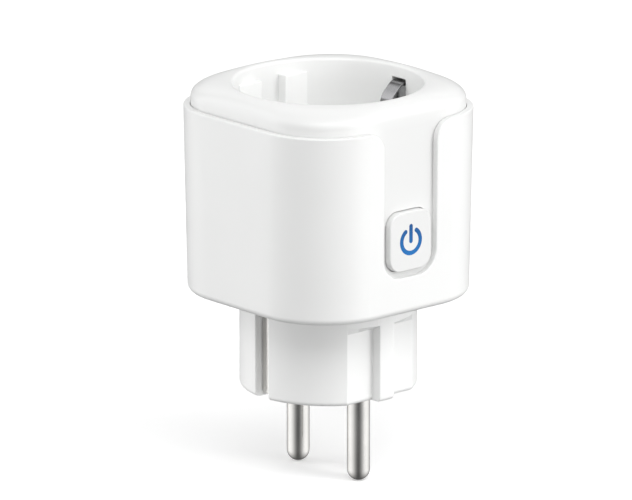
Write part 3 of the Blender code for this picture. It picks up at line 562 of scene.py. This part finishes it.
MATERIALS = {
    "sleeve": moulded("sleeve_white", WHITE, 0.34),
    "housing": housing_painted_white(),
    # The plug base's white is painted paler than the case's: painted light on the boss, which sits in the
    # body's shade.
    "base": moulded("base_white_painted_light", tint(WHITE, 1.09), 0.38, grain=0.005),
    "button": moulded("button_white", tint(WHITE, 0.90), 0.33, coat=0.15),
    "icon": icon_blue(),
    "pin": plated("pin_nickel", (0.72, 0.71, 0.69), 0.20),
    "earth": plated("earth_nickel", (0.66, 0.65, 0.63), 0.19, (0.05, 1, 1), 2600.0),
    # The earth clips' nickel is painted much darker than the other nickel: painted shade for the earth
    # slots they sit in.
    "clip": plated("clip_nickel_painted_shade", (0.22, 0.22, 0.225), 0.17, (0.05, 1, 1), 2600.0),
    "bronze": plated("contact_bronze", (0.72, 0.48, 0.26), 0.30, (1, 0.05, 1), 2400.0),
    "brass": plated("turned_brass", (0.80, 0.62, 0.30), 0.24, (1, 1, 1), 3000.0),
    "steel": plated("zinc_steel", (0.60, 0.61, 0.63), 0.33, (1, 1, 0.2), 1500.0),
    "tin": plated("tin_plate", (0.74, 0.74, 0.73), 0.35, (1, 0.08, 1), 1200.0),
    "nylon": moulded("grey_nylon", (0.36, 0.37, 0.39), 0.48, grain=0.010),
    "black": moulded("black_plastic", (0.028, 0.028, 0.031), 0.42, grain=0.010),
    "relay": moulded("relay_blue", (0.020, 0.045, 0.150), 0.30, grain=0.006),
    "can": moulded("capacitor_sleeve", (0.022, 0.024, 0.030), 0.28, grain=0.003),
    "film": moulded("film_yellow", (0.72, 0.48, 0.05), 0.45, grain=0.008),
    "fuse": moulded("fuse_lacquer", (0.16, 0.34, 0.22), 0.38, grain=0.006),
    "disc": moulded("varistor_blue", (0.035, 0.16, 0.42), 0.32, grain=0.006, peel=0.03),
    "ferrite": moulded("ferrite", (0.06, 0.06, 0.065), 0.62, grain=0.014),
    "plunger": moulded("plunger_white", (0.80, 0.80, 0.79), 0.42),
    "lens": moulded("led_lens", (0.86, 0.88, 0.80), 0.16, grain=0.001),
    "copper": plated("enamelled_copper", (0.66, 0.27, 0.10), 0.30, (1, 0.05, 1), 2000.0),
    "manganin": plated("manganin", (0.62, 0.38, 0.24), 0.34, (0.1, 1, 1), 1800.0),
    "board": circuit_board("board_green", (0, 0, 0)),
    "board_upright": circuit_board("board_green_upright", (math.radians(90), 0, 0)),
}


# ---------------------------------------------------------------- outer sleeve


def sleeve_sizes(z):
    """The sleeve's half width, corner radius and half flat at a height, with its draft."""
    share = (z - SLEEVE_BASE_Z - SLEEVE_EDGE) / (RIM_Z - SLEEVE_BASE_Z - SLEEVE_EDGE)
    half = BASE_HALF + (RIM_HALF - BASE_HALF) * share
    corner = BASE_CORNER + (RIM_CORNER - BASE_CORNER) * share
    return half, corner, half - corner


def sleeve_column(side, kind, value, z):
    """A point of the sleeve's outside and its outward direction.

    The side counts quarter turns from the front. The kind is "front" for a point at a given X of the front,
    "flat" for one at a share of a side's half flat, and "arc" for one at a share of the corner after it.
    """
    half, corner, flat = sleeve_sizes(z)
    lean = math.asin((FRONT_REACH - flat) / corner)
    if kind == "front":
        turn = math.asin(max(0.0, abs(value) - flat) / corner)
        point = Vector((value, -half + corner * (1 - math.cos(turn)), z))
        normal = Vector((math.copysign(math.sin(turn), value), -math.cos(turn), 0))
    elif kind == "flat":
        point = Vector((value * flat, -half, z))
        normal = Vector((0, -1, 0))
    else:
        start = lean if side == 0 else 0.0
        end = math.pi / 2 - (lean if side == 3 else 0.0)
        turn = start + (end - start) * value
        normal = Vector((math.sin(turn), -math.cos(turn), 0))
        point = Vector((flat, -flat, z)) + normal * corner
    spin = Matrix.Rotation(math.pi / 2 * side, 3, "Z")
    return spin @ point, spin @ normal


def channel_path():
    """The front's top edge from left to right, as (x, z, edge direction, x at the foot of the wall)."""
    corner_foot, wall_foot, ear_foot = CHANNEL_FOOT_PLACES
    half = []
    foot_x = CHANNEL_HALF - CHANNEL_FOOT_RADIUS
    foot_z = CHANNEL_FOOT_Z + CHANNEL_FOOT_RADIUS
    ear_x = CHANNEL_HALF + CHANNEL_EAR_RADIUS
    ear_z = RIM_Z - CHANNEL_EAR_RADIUS
    half.append((0.0, CHANNEL_FOOT_Z, (0, 1), 0.0))
    steps = 14
    for i, turn in enumerate(quarter_turn(steps)):
        way = (-math.sin(turn), math.cos(turn))
        at = (foot_x - CHANNEL_FOOT_RADIUS * way[0], foot_z - CHANNEL_FOOT_RADIUS * way[1])
        half.append((*at, way, corner_foot + (wall_foot - corner_foot) * i / steps))
    for i in range(1, 6):
        z = foot_z + (ear_z - foot_z) * i / 6
        half.append((CHANNEL_HALF, z, (-1, 0), wall_foot + (ear_foot - wall_foot) * i / 6))
    for i, turn in enumerate(quarter_turn(steps)):
        way = (-math.cos(turn), math.sin(turn))
        at = (ear_x + CHANNEL_EAR_RADIUS * way[0], ear_z + CHANNEL_EAR_RADIUS * way[1])
        half.append((*at, way, ear_foot + (ear_x - ear_foot) * i / steps))
    half.append((FRONT_REACH, RIM_Z, (0, 1), FRONT_REACH))
    left = [(-x, z, (-way[0], way[1]), -foot) for x, z, way, foot in half[:0:-1]]
    return left + half


def sleeve_columns():
    """Every column round the sleeve: top point, normal and edge direction, then foot point and normal."""
    foot_z = SLEEVE_BASE_Z + SLEEVE_EDGE
    columns = []
    for x, z, way, foot_x in channel_path():
        top, normal = sleeve_column(0, "front", x, z)
        foot, foot_normal = sleeve_column(0, "front", foot_x, foot_z)
        edge = Vector((way[0], 0, way[1]))
        columns.append((top, normal, edge, foot, foot_normal))
    rest = []
    for side in range(4):
        if side:
            rest += [(side, "flat", i / FLAT_STEPS) for i in range(1 - FLAT_STEPS, FLAT_STEPS)]
        first = 1 if side == 0 else 0
        last = CORNER_STEPS if side == 3 else CORNER_STEPS + 1
        rest += [(side, "arc", i / CORNER_STEPS) for i in range(first, last)]
    for side, kind, value in rest:
        top, normal = sleeve_column(side, kind, value, RIM_Z)
        foot, foot_normal = sleeve_column(side, kind, value, foot_z)
        columns.append((top, normal, Vector((0, 0, 1)), foot, foot_normal))
    return columns


def sleeve_shell():
    """The white outer sleeve: rounded foot, drafted walls, and an edge round the rim and the channel."""
    columns = sleeve_columns()
    foot_z = SLEEVE_BASE_Z + SLEEVE_EDGE

    def hole_ring(z):
        ring = []
        for *_, foot, _ in columns:
            way = Vector((foot.x, foot.y, 0)).normalized()
            ring.append(way * SLEEVE_HOLE_RADIUS + Vector((0, 0, z)))
        return ring

    rings = [hole_ring(SLEEVE_BASE_Z)]
    for turn in reversed(quarter_turn(8)):
        inset = SLEEVE_EDGE * (1 - math.cos(turn))
        drop = Vector((0, 0, -SLEEVE_EDGE * math.sin(turn)))
        rings.append([foot - normal * inset + drop for _, _, _, foot, normal in columns])
    for turn in quarter_turn(5):
        out = math.cos(turn) - 1
        up = math.sin(turn) - 1
        rings.append([top + (n * out + e * up) * RIM_EDGE for top, n, e, _, _ in columns])
    for turn in quarter_turn(3):
        back = 1 - math.sin(turn)
        up = math.cos(turn) - 1
        inset = SLEEVE_WALL + SEAM_FILL - RIM_INNER_EDGE * back
        rings.append([top - n * inset + e * up * RIM_INNER_EDGE for top, n, e, _, _ in columns])
    rings.append([foot - normal * SLEEVE_BASE_WALL for _, _, _, foot, normal in columns])
    rings.append(hole_ring(foot_z))
    mesh = rings_mesh(rings, loop=True)
    shell = object_from("sleeve_shell", mesh, MATERIALS["sleeve"], BENT_SHARP_ANGLE)
    flat_light(shell)
    piece(shell, "case", "sleeve_plastic", "outer_sleeve")


# ---------------------------------------------------------------- socket housing


def square_reach(angle, half, corner):
    """How far a rounded square reaches from its middle at an angle."""
    x = abs(math.cos(angle))
    y = abs(math.sin(angle))
    flat = half - corner
    reach = half / max(x, y)
    if reach * min(x, y) <= flat:
        return reach
    toward = flat * (x + y)
    return toward + math.sqrt(toward * toward - 2 * flat * flat + corner * corner)


def directions():
    """Angles round the housing, close together at the corners."""
    flat = HOUSING_HALF - HOUSING_CORNER
    found = []
    for quarter in range(4):
        side = [(HOUSING_HALF, flat * i / 9) for i in range(-8, 9)]
        for x, y in side + arc((flat, flat), HOUSING_CORNER, 0, 90, 28):
            found.append(math.atan2(y, x) + math.pi / 2 * quarter)
    return found


ANGLES = directions()


def polar(radius, angle, z):
    return (radius * math.cos(angle), radius * math.sin(angle), z)


def square_ring(half, corner, z):
    return [polar(square_reach(angle, half, corner), angle, z) for angle in ANGLES]


def round_ring(radius, z):
    return [polar(radius, angle, z) for angle in ANGLES]


def lip_point(angle, turn):
    """A point of the lip's crown, which falls away from the well's edge to the skirt."""
    inner = WELL_RADIUS + WELL_EDGE
    outer = square_reach(angle, HOUSING_HALF, HOUSING_CORNER)
    power = 2 / CROWN_SQUARENESS
    reach = inner + (outer - inner) * max(0.0, math.cos(turn)) ** power
    return polar(reach, angle, CROWN_START_Z + (TOP_Z - CROWN_START_Z) * math.sin(turn) ** power)


def housing_shell():
    """The inner housing: the well with its features, the lip round it, and the skirt inside the sleeve."""
    inner = HOUSING_HALF - HOUSING_WALL
    inner_corner = HOUSING_CORNER - HOUSING_WALL
    rings = [round_ring(FLOOR_RING_RADIUS, WELL_FLOOR_Z)]
    rings.append(round_ring(WELL_RADIUS - WELL_LEAN, WELL_FLOOR_Z))
    for turn in quarter_turn(6):
        across = WELL_EDGE * (1 - math.cos(turn))
        z = TOP_Z - WELL_EDGE * (1 - math.sin(turn))
        rings.append(round_ring(WELL_RADIUS + across, z))
    for turn in quarter_turn(20)[-2::-1]:
        rings.append([lip_point(angle, turn) for angle in ANGLES])
    rings.append(square_ring(HOUSING_HALF, HOUSING_CORNER, HOUSING_FOOT_Z))
    rings.append(square_ring(inner, inner_corner, HOUSING_FOOT_Z))
    rings.append(square_ring(inner, inner_corner, LIP_START_Z))
    rings.append(round_ring(WELL_RADIUS + WELL_WALL, LIP_START_Z))
    rings.append(round_ring(WELL_RADIUS + WELL_WALL, WELL_UNDER_Z))
    rings.append(round_ring(FLOOR_RING_RADIUS, WELL_UNDER_Z))
    shell = object_from("housing_shell", rings_mesh(rings), MATERIALS["housing"])
    well_features(shell)
    housing_posts(shell)
    wide = BUTTON_CLEARANCE
    hole = rounded_rectangle(
        BUTTON_HALF_X + wide, BUTTON_HALF_Z + wide, BUTTON_CORNER + wide, (0, BUTTON_Z)
    )
    cut(shell, prism("button_hole", hole, -HOUSING_HALF - OVERLAP, -inner + OVERLAP, "Y"))
    flat_light(shell)
    piece(shell, "case", "housing_plastic", "socket_housing")


def guide_block(side, hand):
    """One of the four blocks that key a plug in the well, with softened edges."""
    outline = [
        (hand * GUIDE_INNER_X, side * GUIDE_FACE_Y),
        (hand * GUIDE_OUTER_X, side * GUIDE_FACE_Y),
        (hand * GUIDE_OUTER_X, side * (GUIDE_FACE_Y + GUIDE_OUTER_DEPTH)),
        (hand * GUIDE_INNER_X, side * (GUIDE_FACE_Y + GUIDE_INNER_DEPTH)),
    ]
    block = prism("guide_block", outline, WELL_UNDER_Z + OVERLAP / 2, GUIDE_TOP_Z, "Z")
    bevel = block.modifiers.new("edges", "BEVEL")
    bevel.width = GUIDE_EDGE * MM
    bevel.segments = 4
    bpy.context.view_layer.update()
    apply_modifiers(block)
    return block


def well_features(shell):
    """The guide blocks, the pin entries with their chamfers, and the slots for the earth contacts."""
    for side in (1, -1):
        for hand in (1, -1):
            join(shell, guide_block(side, hand))
        entry = [
            (PIN_ENTRY_RADIUS, WELL_UNDER_Z - OVERLAP),
            (PIN_ENTRY_RADIUS, WELL_FLOOR_Z - PIN_ENTRY_CHAMFER),
            (PIN_ENTRY_RADIUS + PIN_ENTRY_CHAMFER, WELL_FLOOR_Z),
            (PIN_ENTRY_RADIUS + PIN_ENTRY_CHAMFER + OVERLAP, WELL_FLOOR_Z + OVERLAP),
        ]
        cut(shell, turned("pin_entry", entry, (0, side * PIN_PLACE), 64))
        inner_x = side * (WELL_RADIUS - EARTH_SLOT_INSET)
        outer_x = side * (HOUSING_HALF - HOUSING_WALL - GAP)
        corner_a = (min(inner_x, outer_x), -EARTH_SLOT_HALF, WELL_UNDER_Z - OVERLAP)
        corner_b = (max(inner_x, outer_x), EARTH_SLOT_HALF, EARTH_SLOT_TOP_Z)
        cut(shell, box("earth_slot", corner_a, corner_b))


def housing_posts(shell):
    """The screw bosses, the shutter's pivot and the posts for its cover, as in the CAD model."""
    for x, y in CORNERS:
        centre = (x * SCREW_PLACE, y * SCREW_PLACE)
        join(shell, rod("screw_boss", SCREW_BOSS_RADIUS, HOUSING_FOOT_Z, SCREW_BOSS_TOP_Z, centre, 32))
        end = HOUSING_FOOT_Z + SCREW_PILOT_DEPTH
        cut(shell, rod("screw_pilot", SCREW_PILOT_RADIUS, HOUSING_FOOT_Z - OVERLAP, end, centre, 24))
    shutter_z = low("shutter").z
    root = WELL_UNDER_Z + OVERLAP
    join(shell, rod("shutter_pivot", SHUTTER_PIVOT_RADIUS, shutter_z, root, (0, 0), 48))
    for index in (1, 2):
        middle = (low(f"cover_screw_{index}") + high(f"cover_screw_{index}")) / 2
        centre = (middle.x, middle.y)
        join(shell, rod("cover_post", COVER_POST_RADIUS, shutter_z, root, centre, 32))
        foot = shutter_z - OVERLAP
        cut(shell, rod("cover_pilot", COVER_PILOT_RADIUS, foot, COVER_PILOT_TOP_Z, centre, 20))


# ---------------------------------------------------------------- plug base


def fillet(points, bends, steps=4):
    """An outline with its corners rounded, each by its own radius. A radius of 0 leaves a corner sharp."""
    made = []
    count = len(points)
    for i, (point, bend) in enumerate(zip(points, bends)):
        here = Vector(point)
        if not bend:
            made.append(here)
            continue
        back = (Vector(points[i - 1]) - here).normalized()
        on = (Vector(points[(i + 1) % count]) - here).normalized()
        half = math.acos(max(-1.0, min(1.0, back.dot(on)))) / 2
        reach = bend / math.tan(half)
        start = here + back * reach
        end = here + on * reach
        for k in range(steps + 1):
            t = k / steps
            made.append(start * (1 - t) ** 2 + here * 2 * t * (1 - t) + end * t * t)
    return made


def boss_quarter():
    """A quarter of the boss's section from +X to +Y, with the radius of each corner.

    It runs over half a slot, the round wall, a flat and half a rib.
    """
    points = [(BOSS_SLOT_FLOOR, 0), (BOSS_SLOT_FLOOR, BOSS_SLOT_HALF)]
    bends = [0, SLOT_FLOOR_BEND]
    start = math.degrees(math.asin(BOSS_SLOT_HALF / PLUG_RADIUS))
    end = math.degrees(math.asin(FLAT_Y / PLUG_RADIUS))
    wall = arc((0, 0), PLUG_RADIUS, start, end, 26)
    points += wall
    bends += [SLOT_MOUTH_BEND] + [0] * (len(wall) - 2) + [FLAT_END_BEND]
    flat_end = PLUG_RADIUS * math.cos(math.radians(end))
    points += [(flat_end * 0.6 + RIB_HALF * 0.4, FLAT_Y), (RIB_HALF, FLAT_Y)]
    bends += [0, RIB_FOOT_BEND]
    rib = math.degrees(math.acos(RIB_HALF / PLUG_RADIUS))
    points += arc((0, 0), PLUG_RADIUS, rib, 90, 3)
    bends += [RIB_TOP_BEND, 0, 0, 0]
    return points, bends


def boss_outline():
    """The boss's section below its flats' tops, as a closed outline with softened corners."""
    points, bends = boss_quarter()
    upper = points + [(-x, y) for x, y in reversed(points[:-1])]
    upper_bends = bends + list(reversed(bends[:-1]))
    whole = upper + [(x, -y) for x, y in reversed(upper[1:-1])]
    whole_bends = upper_bends + list(reversed(upper_bends[1:-1]))
    return fillet(whole, whole_bends)


def base_shell():
    """The round plug boss with its flats, ribs and earth slots, on the flange inside the sleeve."""
    outline = boss_outline()

    def section(shrink, z):
        scale = (PLUG_RADIUS - shrink) / PLUG_RADIUS
        return [(p.x * scale, p.y * scale, z) for p in outline]

    def full(z):
        ring = []
        for p in outline:
            in_flat = abs(p.y) > FLAT_Y - FLAT_MARGIN
            grown = p.normalized() * PLUG_RADIUS if in_flat else p
            ring.append((grown.x, grown.y, z))
        return ring

    rings = []
    for turn in quarter_turn(6):
        shrink = PLUG_EDGE * (1 - math.sin(turn))
        rings.append(section(shrink, PLUG_EDGE * (1 - math.cos(turn))))
    rings.append(section(0, FLAT_TOP_Z))
    rings.append(full(FLAT_TOP_Z + FLAT_SLOPE))
    rings.append(full(FLANGE_TOP_Z))
    base = object_from("base_shell", rings_mesh(rings), MATERIALS["base"])
    flange = rounded_rectangle(HOUSING_HALF, HOUSING_HALF, HOUSING_CORNER, steps=16)
    join(base, prism("flange", flange, FLANGE_Z, FLANGE_TOP_Z, "Z"))
    above = FLANGE_TOP_Z + OVERLAP
    cut(base, rod("hollow", PLUG_INNER_RADIUS, PLUG_FLOOR, above, (0, 0), 96))
    strip_x = high("plug_earth_bracket").x + GAP
    bridge_half = strip_x - BRIDGE_INSET
    groove_a = (-bridge_half, -BOSS_SLOT_HALF, FLANGE_TOP_Z - BRIDGE_DEPTH)
    cut(base, box("groove", groove_a, (bridge_half, BOSS_SLOT_HALF, above)))
    for side in (1, -1):
        reach = sorted((side * BOSS_SLOT_FLOOR, side * strip_x))
        slit_a = (reach[0], -BOSS_SLOT_HALF, SLEEVE_BASE_Z)
        cut(base, box("slit", slit_a, (reach[1], BOSS_SLOT_HALF, above)))
        shank = PIN_RADIUS + PIN_HOLE_CLEARANCE
        mouth = PIN_RADIUS + PIN_HOLE_MOUTH
        hole = [(mouth, -OVERLAP), (mouth, 0), (shank, PIN_HOLE_CHAMFER), (shank, PLUG_FLOOR + OVERLAP)]
        cut(base, turned("pin_hole", hole, (0, side * PIN_PLACE), 64))
    below = FLANGE_Z - OVERLAP
    for x, y in CORNERS:
        centre = (x * SCREW_PLACE, y * SCREW_PLACE)
        cut(base, rod("flange_hole", SCREW_PILOT_RADIUS, below, above, centre, 24))
        recess_top = FLANGE_Z + SCREW_RECESS_DEPTH
        cut(base, rod("screw_recess", SCREW_RECESS_RADIUS, below, recess_top, centre, 32))
    base.data.set_sharp_from_angle(angle=math.radians(BASE_SHARP_ANGLE))
    flat_light(base)
    piece(base, "case", "base_plastic", "plug_base")


# ---------------------------------------------------------------- button, pins and earth contacts


def button_cap():
    """The push button: a softly edged cap, flanged behind the wall and hollow for the light guide."""
    centre = (0, BUTTON_Z)
    rings = []
    for turn in quarter_turn(6):
        inset = BUTTON_EDGE * (1 - math.sin(turn))
        y = BUTTON_FACE_Y + BUTTON_EDGE * (1 - math.cos(turn))
        outline = rounded_rectangle(
            BUTTON_HALF_X - inset, BUTTON_HALF_Z - inset, BUTTON_CORNER - inset, centre
        )
        rings.append([(u, y, v) for u, v in outline])
    whole = rounded_rectangle(BUTTON_HALF_X, BUTTON_HALF_Z, BUTTON_CORNER, centre)
    rings.append([(u, BUTTON_BACK_Y, v) for u, v in whole])
    cap = object_from("button_cap_shell", rings_mesh(rings), MATERIALS["button"])
    wide = BUTTON_FLANGE
    flange = rounded_rectangle(BUTTON_HALF_X + wide, BUTTON_HALF_Z + wide, BUTTON_CORNER + wide, centre)
    join(cap, prism("flange", flange, BUTTON_BACK_Y - BUTTON_FLANGE_THICK, BUTTON_BACK_Y, "Y"))
    hollow = circle(BUTTON_POCKET_RADIUS, 64, centre)
    cut(cap, prism("hollow", hollow, BUTTON_FACE_Y + BUTTON_SKIN, BUTTON_BACK_Y + OVERLAP, "Y"))
    flat_light(cap)
    piece(cap, "button", "button_plastic", "button_cap")


def icon_ring():
    """The symbol's open ring, with round ends."""
    centre = (0, BUTTON_Z)
    start = 90 + ICON_GAP_ANGLE
    end = 450 - ICON_GAP_ANGLE
    half = ICON_STROKE / 2
    start_tip, end_tip = arc(centre, ICON_RADIUS, start, end, 1)
    outline = arc(centre, ICON_RADIUS + half, start, end, 72)
    outline += arc(end_tip, half, end, end + 180, 10)[1:-1]
    outline += arc(centre, ICON_RADIUS - half, end, start, 72)
    outline += arc(start_tip, half, start + 180, start + 360, 10)[1:-1]
    return outline


def icon_bar():
    """The symbol's upright stroke, with round ends."""
    half = ICON_STROKE / 2
    top = BUTTON_Z + ICON_BAR_TOP - half
    foot = BUTTON_Z + ICON_BAR_FOOT + half
    return arc((0, top), half, 0, 180, 10) + arc((0, foot), half, 180, 360, 10)


def button_icon():
    """The power symbol, set a hair proud of the button's face, on the light guide behind it."""
    proud = BUTTON_FACE_Y - ICON_PROUD
    front = BUTTON_FACE_Y + BUTTON_SKIN + GAP
    middle = front + GUIDE_PLATE_THICK / 2
    centre = (0, BUTTON_Z)
    plate = circle(GUIDE_PLATE_RADIUS, 48, centre)
    guide = prism("power_symbol", plate, front, front + GUIDE_PLATE_THICK, "Y")
    for outline in (icon_ring(), icon_bar()):
        join(guide, prism("stroke", outline, proud, middle, "Y"))
    post = circle(PRESS_POST_RADIUS, 32, centre)
    join(guide, prism("post", post, middle, high("button_icon").y, "Y"))
    guide.data.materials.clear()
    guide.data.materials.append(MATERIALS["icon"])
    piece(guide, "button", "icon_blue", "button_icon")


def plug_pins():
    """The two round pins, with hemispherical tips."""
    for name, side in (("line_pin", 1), ("neutral_pin", -1)):
        tip = PIN_TIP_Z + PIN_RADIUS
        profile = []
        for turn in quarter_turn(18)[1:]:
            profile.append((PIN_RADIUS * math.sin(turn), tip - PIN_RADIUS * math.cos(turn)))
        foot = PLUG_FLOOR + GAP
        top = foot + PIN_COLLAR_THICK
        profile += [(PIN_RADIUS, foot), (PIN_COLLAR_RADIUS, foot), (PIN_COLLAR_RADIUS, top)]
        profile += [(PIN_TAIL_RADIUS, top), (PIN_TAIL_RADIUS, high(name).z)]
        pin = turned(f"{name}_shank", profile, (0, side * PIN_PLACE), 96, MATERIALS["pin"])
        piece(pin, "case", "pin_nickel", name)


def sheet_outline(path, thickness):
    """The closed outline of a bent strip from the points along its middle."""
    left = []
    right = []
    points = [Vector(point) for point in path]
    for i, point in enumerate(points):
        before = (point - points[i - 1]).normalized() if i else None
        after = (points[i + 1] - point).normalized() if i < len(points) - 1 else None
        along = ((before or after) + (after or before)).normalized()
        across = Vector((-along.y, along.x)) * thickness / 2
        left.append(tuple(point + across))
        right.append(tuple(point - across))
    return left + right[::-1]


def smooth_path(points, steps=8):
    """A smooth curve through points (Catmull-Rom), for a formed strip."""
    line = [Vector(point) for point in points]
    line = [line[0] * 2 - line[1]] + line + [line[-1] * 2 - line[-2]]
    made = []
    for a, b, c, d in zip(line, line[1:], line[2:], line[3:]):
        for i in range(steps):
            t = i / steps
            square = (2 * a - 5 * b + 4 * c - d) * t * t
            cube = (3 * b - a - 3 * c + d) * t ** 3
            made.append(0.5 * (2 * b + (c - a) * t + square + cube))
    made.append(line[-2])
    return made


def earth_clips():
    """The sprung earth contacts, formed from one strip each, with the nose that leans into the well."""
    for hand, side in (("right", 1), ("left", -1)):
        name = f"earth_clip_{hand}"
        path = [(side * CLIP_X, low(name).z)]
        path += [(side * p.x, p.y) for p in smooth_path(CLIP_BEND + CLIP_NOSE)]
        outline = sheet_outline(path, CLIP_THICK)
        clip = prism(f"{name}_strip", outline, -CLIP_HALF, CLIP_HALF, "Y", MATERIALS["clip"])
        soften(clip, CLIP_EDGE, BENT_SHARP_ANGLE)
        piece(clip, f"earth_spring_{hand}", "earth_nickel", name)


# ---------------------------------------------------------------- carried-over nodes

FINISHES = {
    "earth": ["plug_earth_bracket", "socket_earth_bar"],
    "bronze": ["contact_line", "contact_neutral"],
    "brass": ["earth_post"],
    "steel": ["shutter_spring", "relay_yoke", "relay_armature", "cover_screw_1", "cover_screw_2"]
    + [f"case_screw_{i}" for i in range(1, 5)],
    "nylon": ["shutter", "shutter_cover"],
    "board": ["main_board"],
    "board_upright": ["control_board", "wifi_board"],
    "relay": ["relay_case"],
    "black": ["relay_base", "switch_body", "board_header", "rectifier", "metering_chip"],
    "can": ["filter_capacitor_1", "filter_capacitor_2"],
    "copper": ["relay_coil"],
    "manganin": ["current_shunt"],
    "plunger": ["switch_plunger"],
    "film": ["film_capacitor"],
    "fuse": ["fuse_resistor"],
    "disc": ["varistor"],
    "ferrite": ["buck_inductor", "filter_choke"],
    "lens": ["status_led"],
    "tin": ["wifi_shield"],
}


def finish_nodes():
    """Gives each carried-over node its material and softened edges."""
    for finish, names in FINISHES.items():
        for name in names:
            item = nodes[name]
            item.data.materials.clear()
            item.data.materials.append(MATERIALS[finish])
            if name != "shutter_spring":
                soften(item, EDGE_WIDTHS.get(finish, EDGE_WIDTH))


# ---------------------------------------------------------------- stage


def stage_floor():
    """A plain pale floor under the pins' tips. It throws no light back, so that undersides stay darker."""
    corner_a = (-FLOOR_HALF, -FLOOR_HALF, PIN_TIP_Z - FLOOR_THICK)
    floor = box("floor", corner_a, (FLOOR_HALF, FLOOR_HALF, PIN_TIP_Z))
    made = Nodes("floor_white")
    made.color(made.ramp(made.noise(3.0, 2.0), [(0.3, (0.965, 0.965, 0.965)), (0.7, (0.98, 0.98, 0.98))]))
    made.rough(made.spread(made.noise(20.0), 0.85, 0.95))
    made.set(Emission_Color=(1.0, 1.0, 1.0, 1.0), Emission_Strength=0.18)
    floor.data.materials.append(made.material)
    floor.visible_glossy = False
    floor.visible_diffuse = False


def turned_place(azimuth, elevation, distance):
    """A place round the object in metres, with azimuth 0 in front and growing to the right."""
    a = math.radians(azimuth)
    e = math.radians(elevation)
    way = Vector((math.sin(a) * math.cos(e), -math.cos(a) * math.cos(e), math.sin(e)))
    return Vector((0, 0, CAMERA_AIM_Z * MM)) + way * distance


def soft_box(name, azimuth, elevation, distance, width, height, power):
    """An area light that faces the object, in degrees, metres and watts."""
    data = bpy.data.lights.new(name, "AREA")
    data.shape = "RECTANGLE"
    data.size = width
    data.size_y = height
    data.energy = power
    item = bpy.data.objects.new(name, data)
    item.location = turned_place(azimuth, elevation, distance)
    aim = Vector((0, 0, CAMERA_AIM_Z * MM)) - item.location
    item.rotation_euler = aim.to_track_quat("-Z", "Y").to_euler()
    bpy.context.scene.collection.objects.link(item)


def room():
    """A pale room, brightest at the camera's left and right, so that round metal shows dark edges."""
    world = bpy.data.worlds.new("room")
    bpy.context.scene.world = world
    world.use_nodes = True
    tree = world.node_tree

    def math_node(operation, first, second):
        node = tree.nodes.new("ShaderNodeMath")
        node.operation = operation
        for socket, value in zip(node.inputs, (first, second)):
            if isinstance(value, float):
                socket.default_value = value
            else:
                tree.links.new(value, socket)
        return node.outputs["Value"]

    coordinates = tree.nodes.new("ShaderNodeTexCoord")
    turn = tree.nodes.new("ShaderNodeMapping")
    turn.inputs["Rotation"].default_value = (0, 0, math.radians(-CAMERA_AZIMUTH))
    way = tree.nodes.new("ShaderNodeSeparateXYZ")
    tree.links.new(coordinates.outputs["Generated"], turn.inputs["Vector"])
    tree.links.new(turn.outputs["Vector"], way.inputs["Vector"])
    sides = math_node("MULTIPLY", way.outputs["X"], way.outputs["X"])
    above = math_node("GREATER_THAN", way.outputs["Z"], 0.0)
    share = math_node("MULTIPLY_ADD", above, ROOM_ABOVE - ROOM_BELOW)
    share.node.inputs[2].default_value = ROOM_BELOW
    glow = math_node("MULTIPLY_ADD", sides, share)
    glow.node.inputs[2].default_value = ROOM_BASE
    background = tree.nodes["Background"]
    background.inputs["Color"].default_value = (1.0, 1.0, 1.0, 1.0)
    tree.links.new(glow, background.inputs["Strength"])


def studio():
    """The room with five soft boxes: right, behind left, high in front, low in front and high behind."""
    room()
    soft_box("right_box", CAMERA_AZIMUTH + 62, 24, 1.4, 0.6, 2.0, 12.4)
    soft_box("left_box", CAMERA_AZIMUTH - 105, 16, 1.35, 0.9, 1.6, 6.4)
    soft_box("front_box", CAMERA_AZIMUTH, 52, 1.3, 1.0, 0.8, 8.4)
    soft_box("low_box", CAMERA_AZIMUTH, 4, 1.3, 0.8, 0.3, 2.6)
    soft_box("back_box", CAMERA_AZIMUTH + 180, 35, 1.3, 1.4, 1.0, 4.4)
    bpy.context.scene.view_settings.view_transform = "Standard"


def camera():
    """A long lens that looks at a point a little to the left of the axis."""
    data = bpy.data.cameras.new("camera")
    data.lens = CAMERA_LENS
    data.sensor_width = 36.0
    data.clip_start = 0.05
    data.clip_end = 20.0
    item = bpy.data.objects.new("camera", data)
    a = math.radians(CAMERA_AZIMUTH)
    left = Vector((-math.cos(a), -math.sin(a), 0)) * CAMERA_AIM_LEFT * MM
    spot = turned_place(CAMERA_AZIMUTH, CAMERA_ELEVATION, CAMERA_DISTANCE * MM)
    aim = Vector((0, 0, CAMERA_AIM_Z * MM)) - spot
    item.location = spot + left
    item.rotation_euler = aim.to_track_quat("-Z", "Y").to_euler()
    bpy.context.scene.collection.objects.link(item)
    bpy.context.scene.camera = item


camera()
sleeve_shell()
housing_shell()
base_shell()
button_cap()
button_icon()
plug_pins()
earth_clips()
finish_nodes()
stage_floor()
studio()
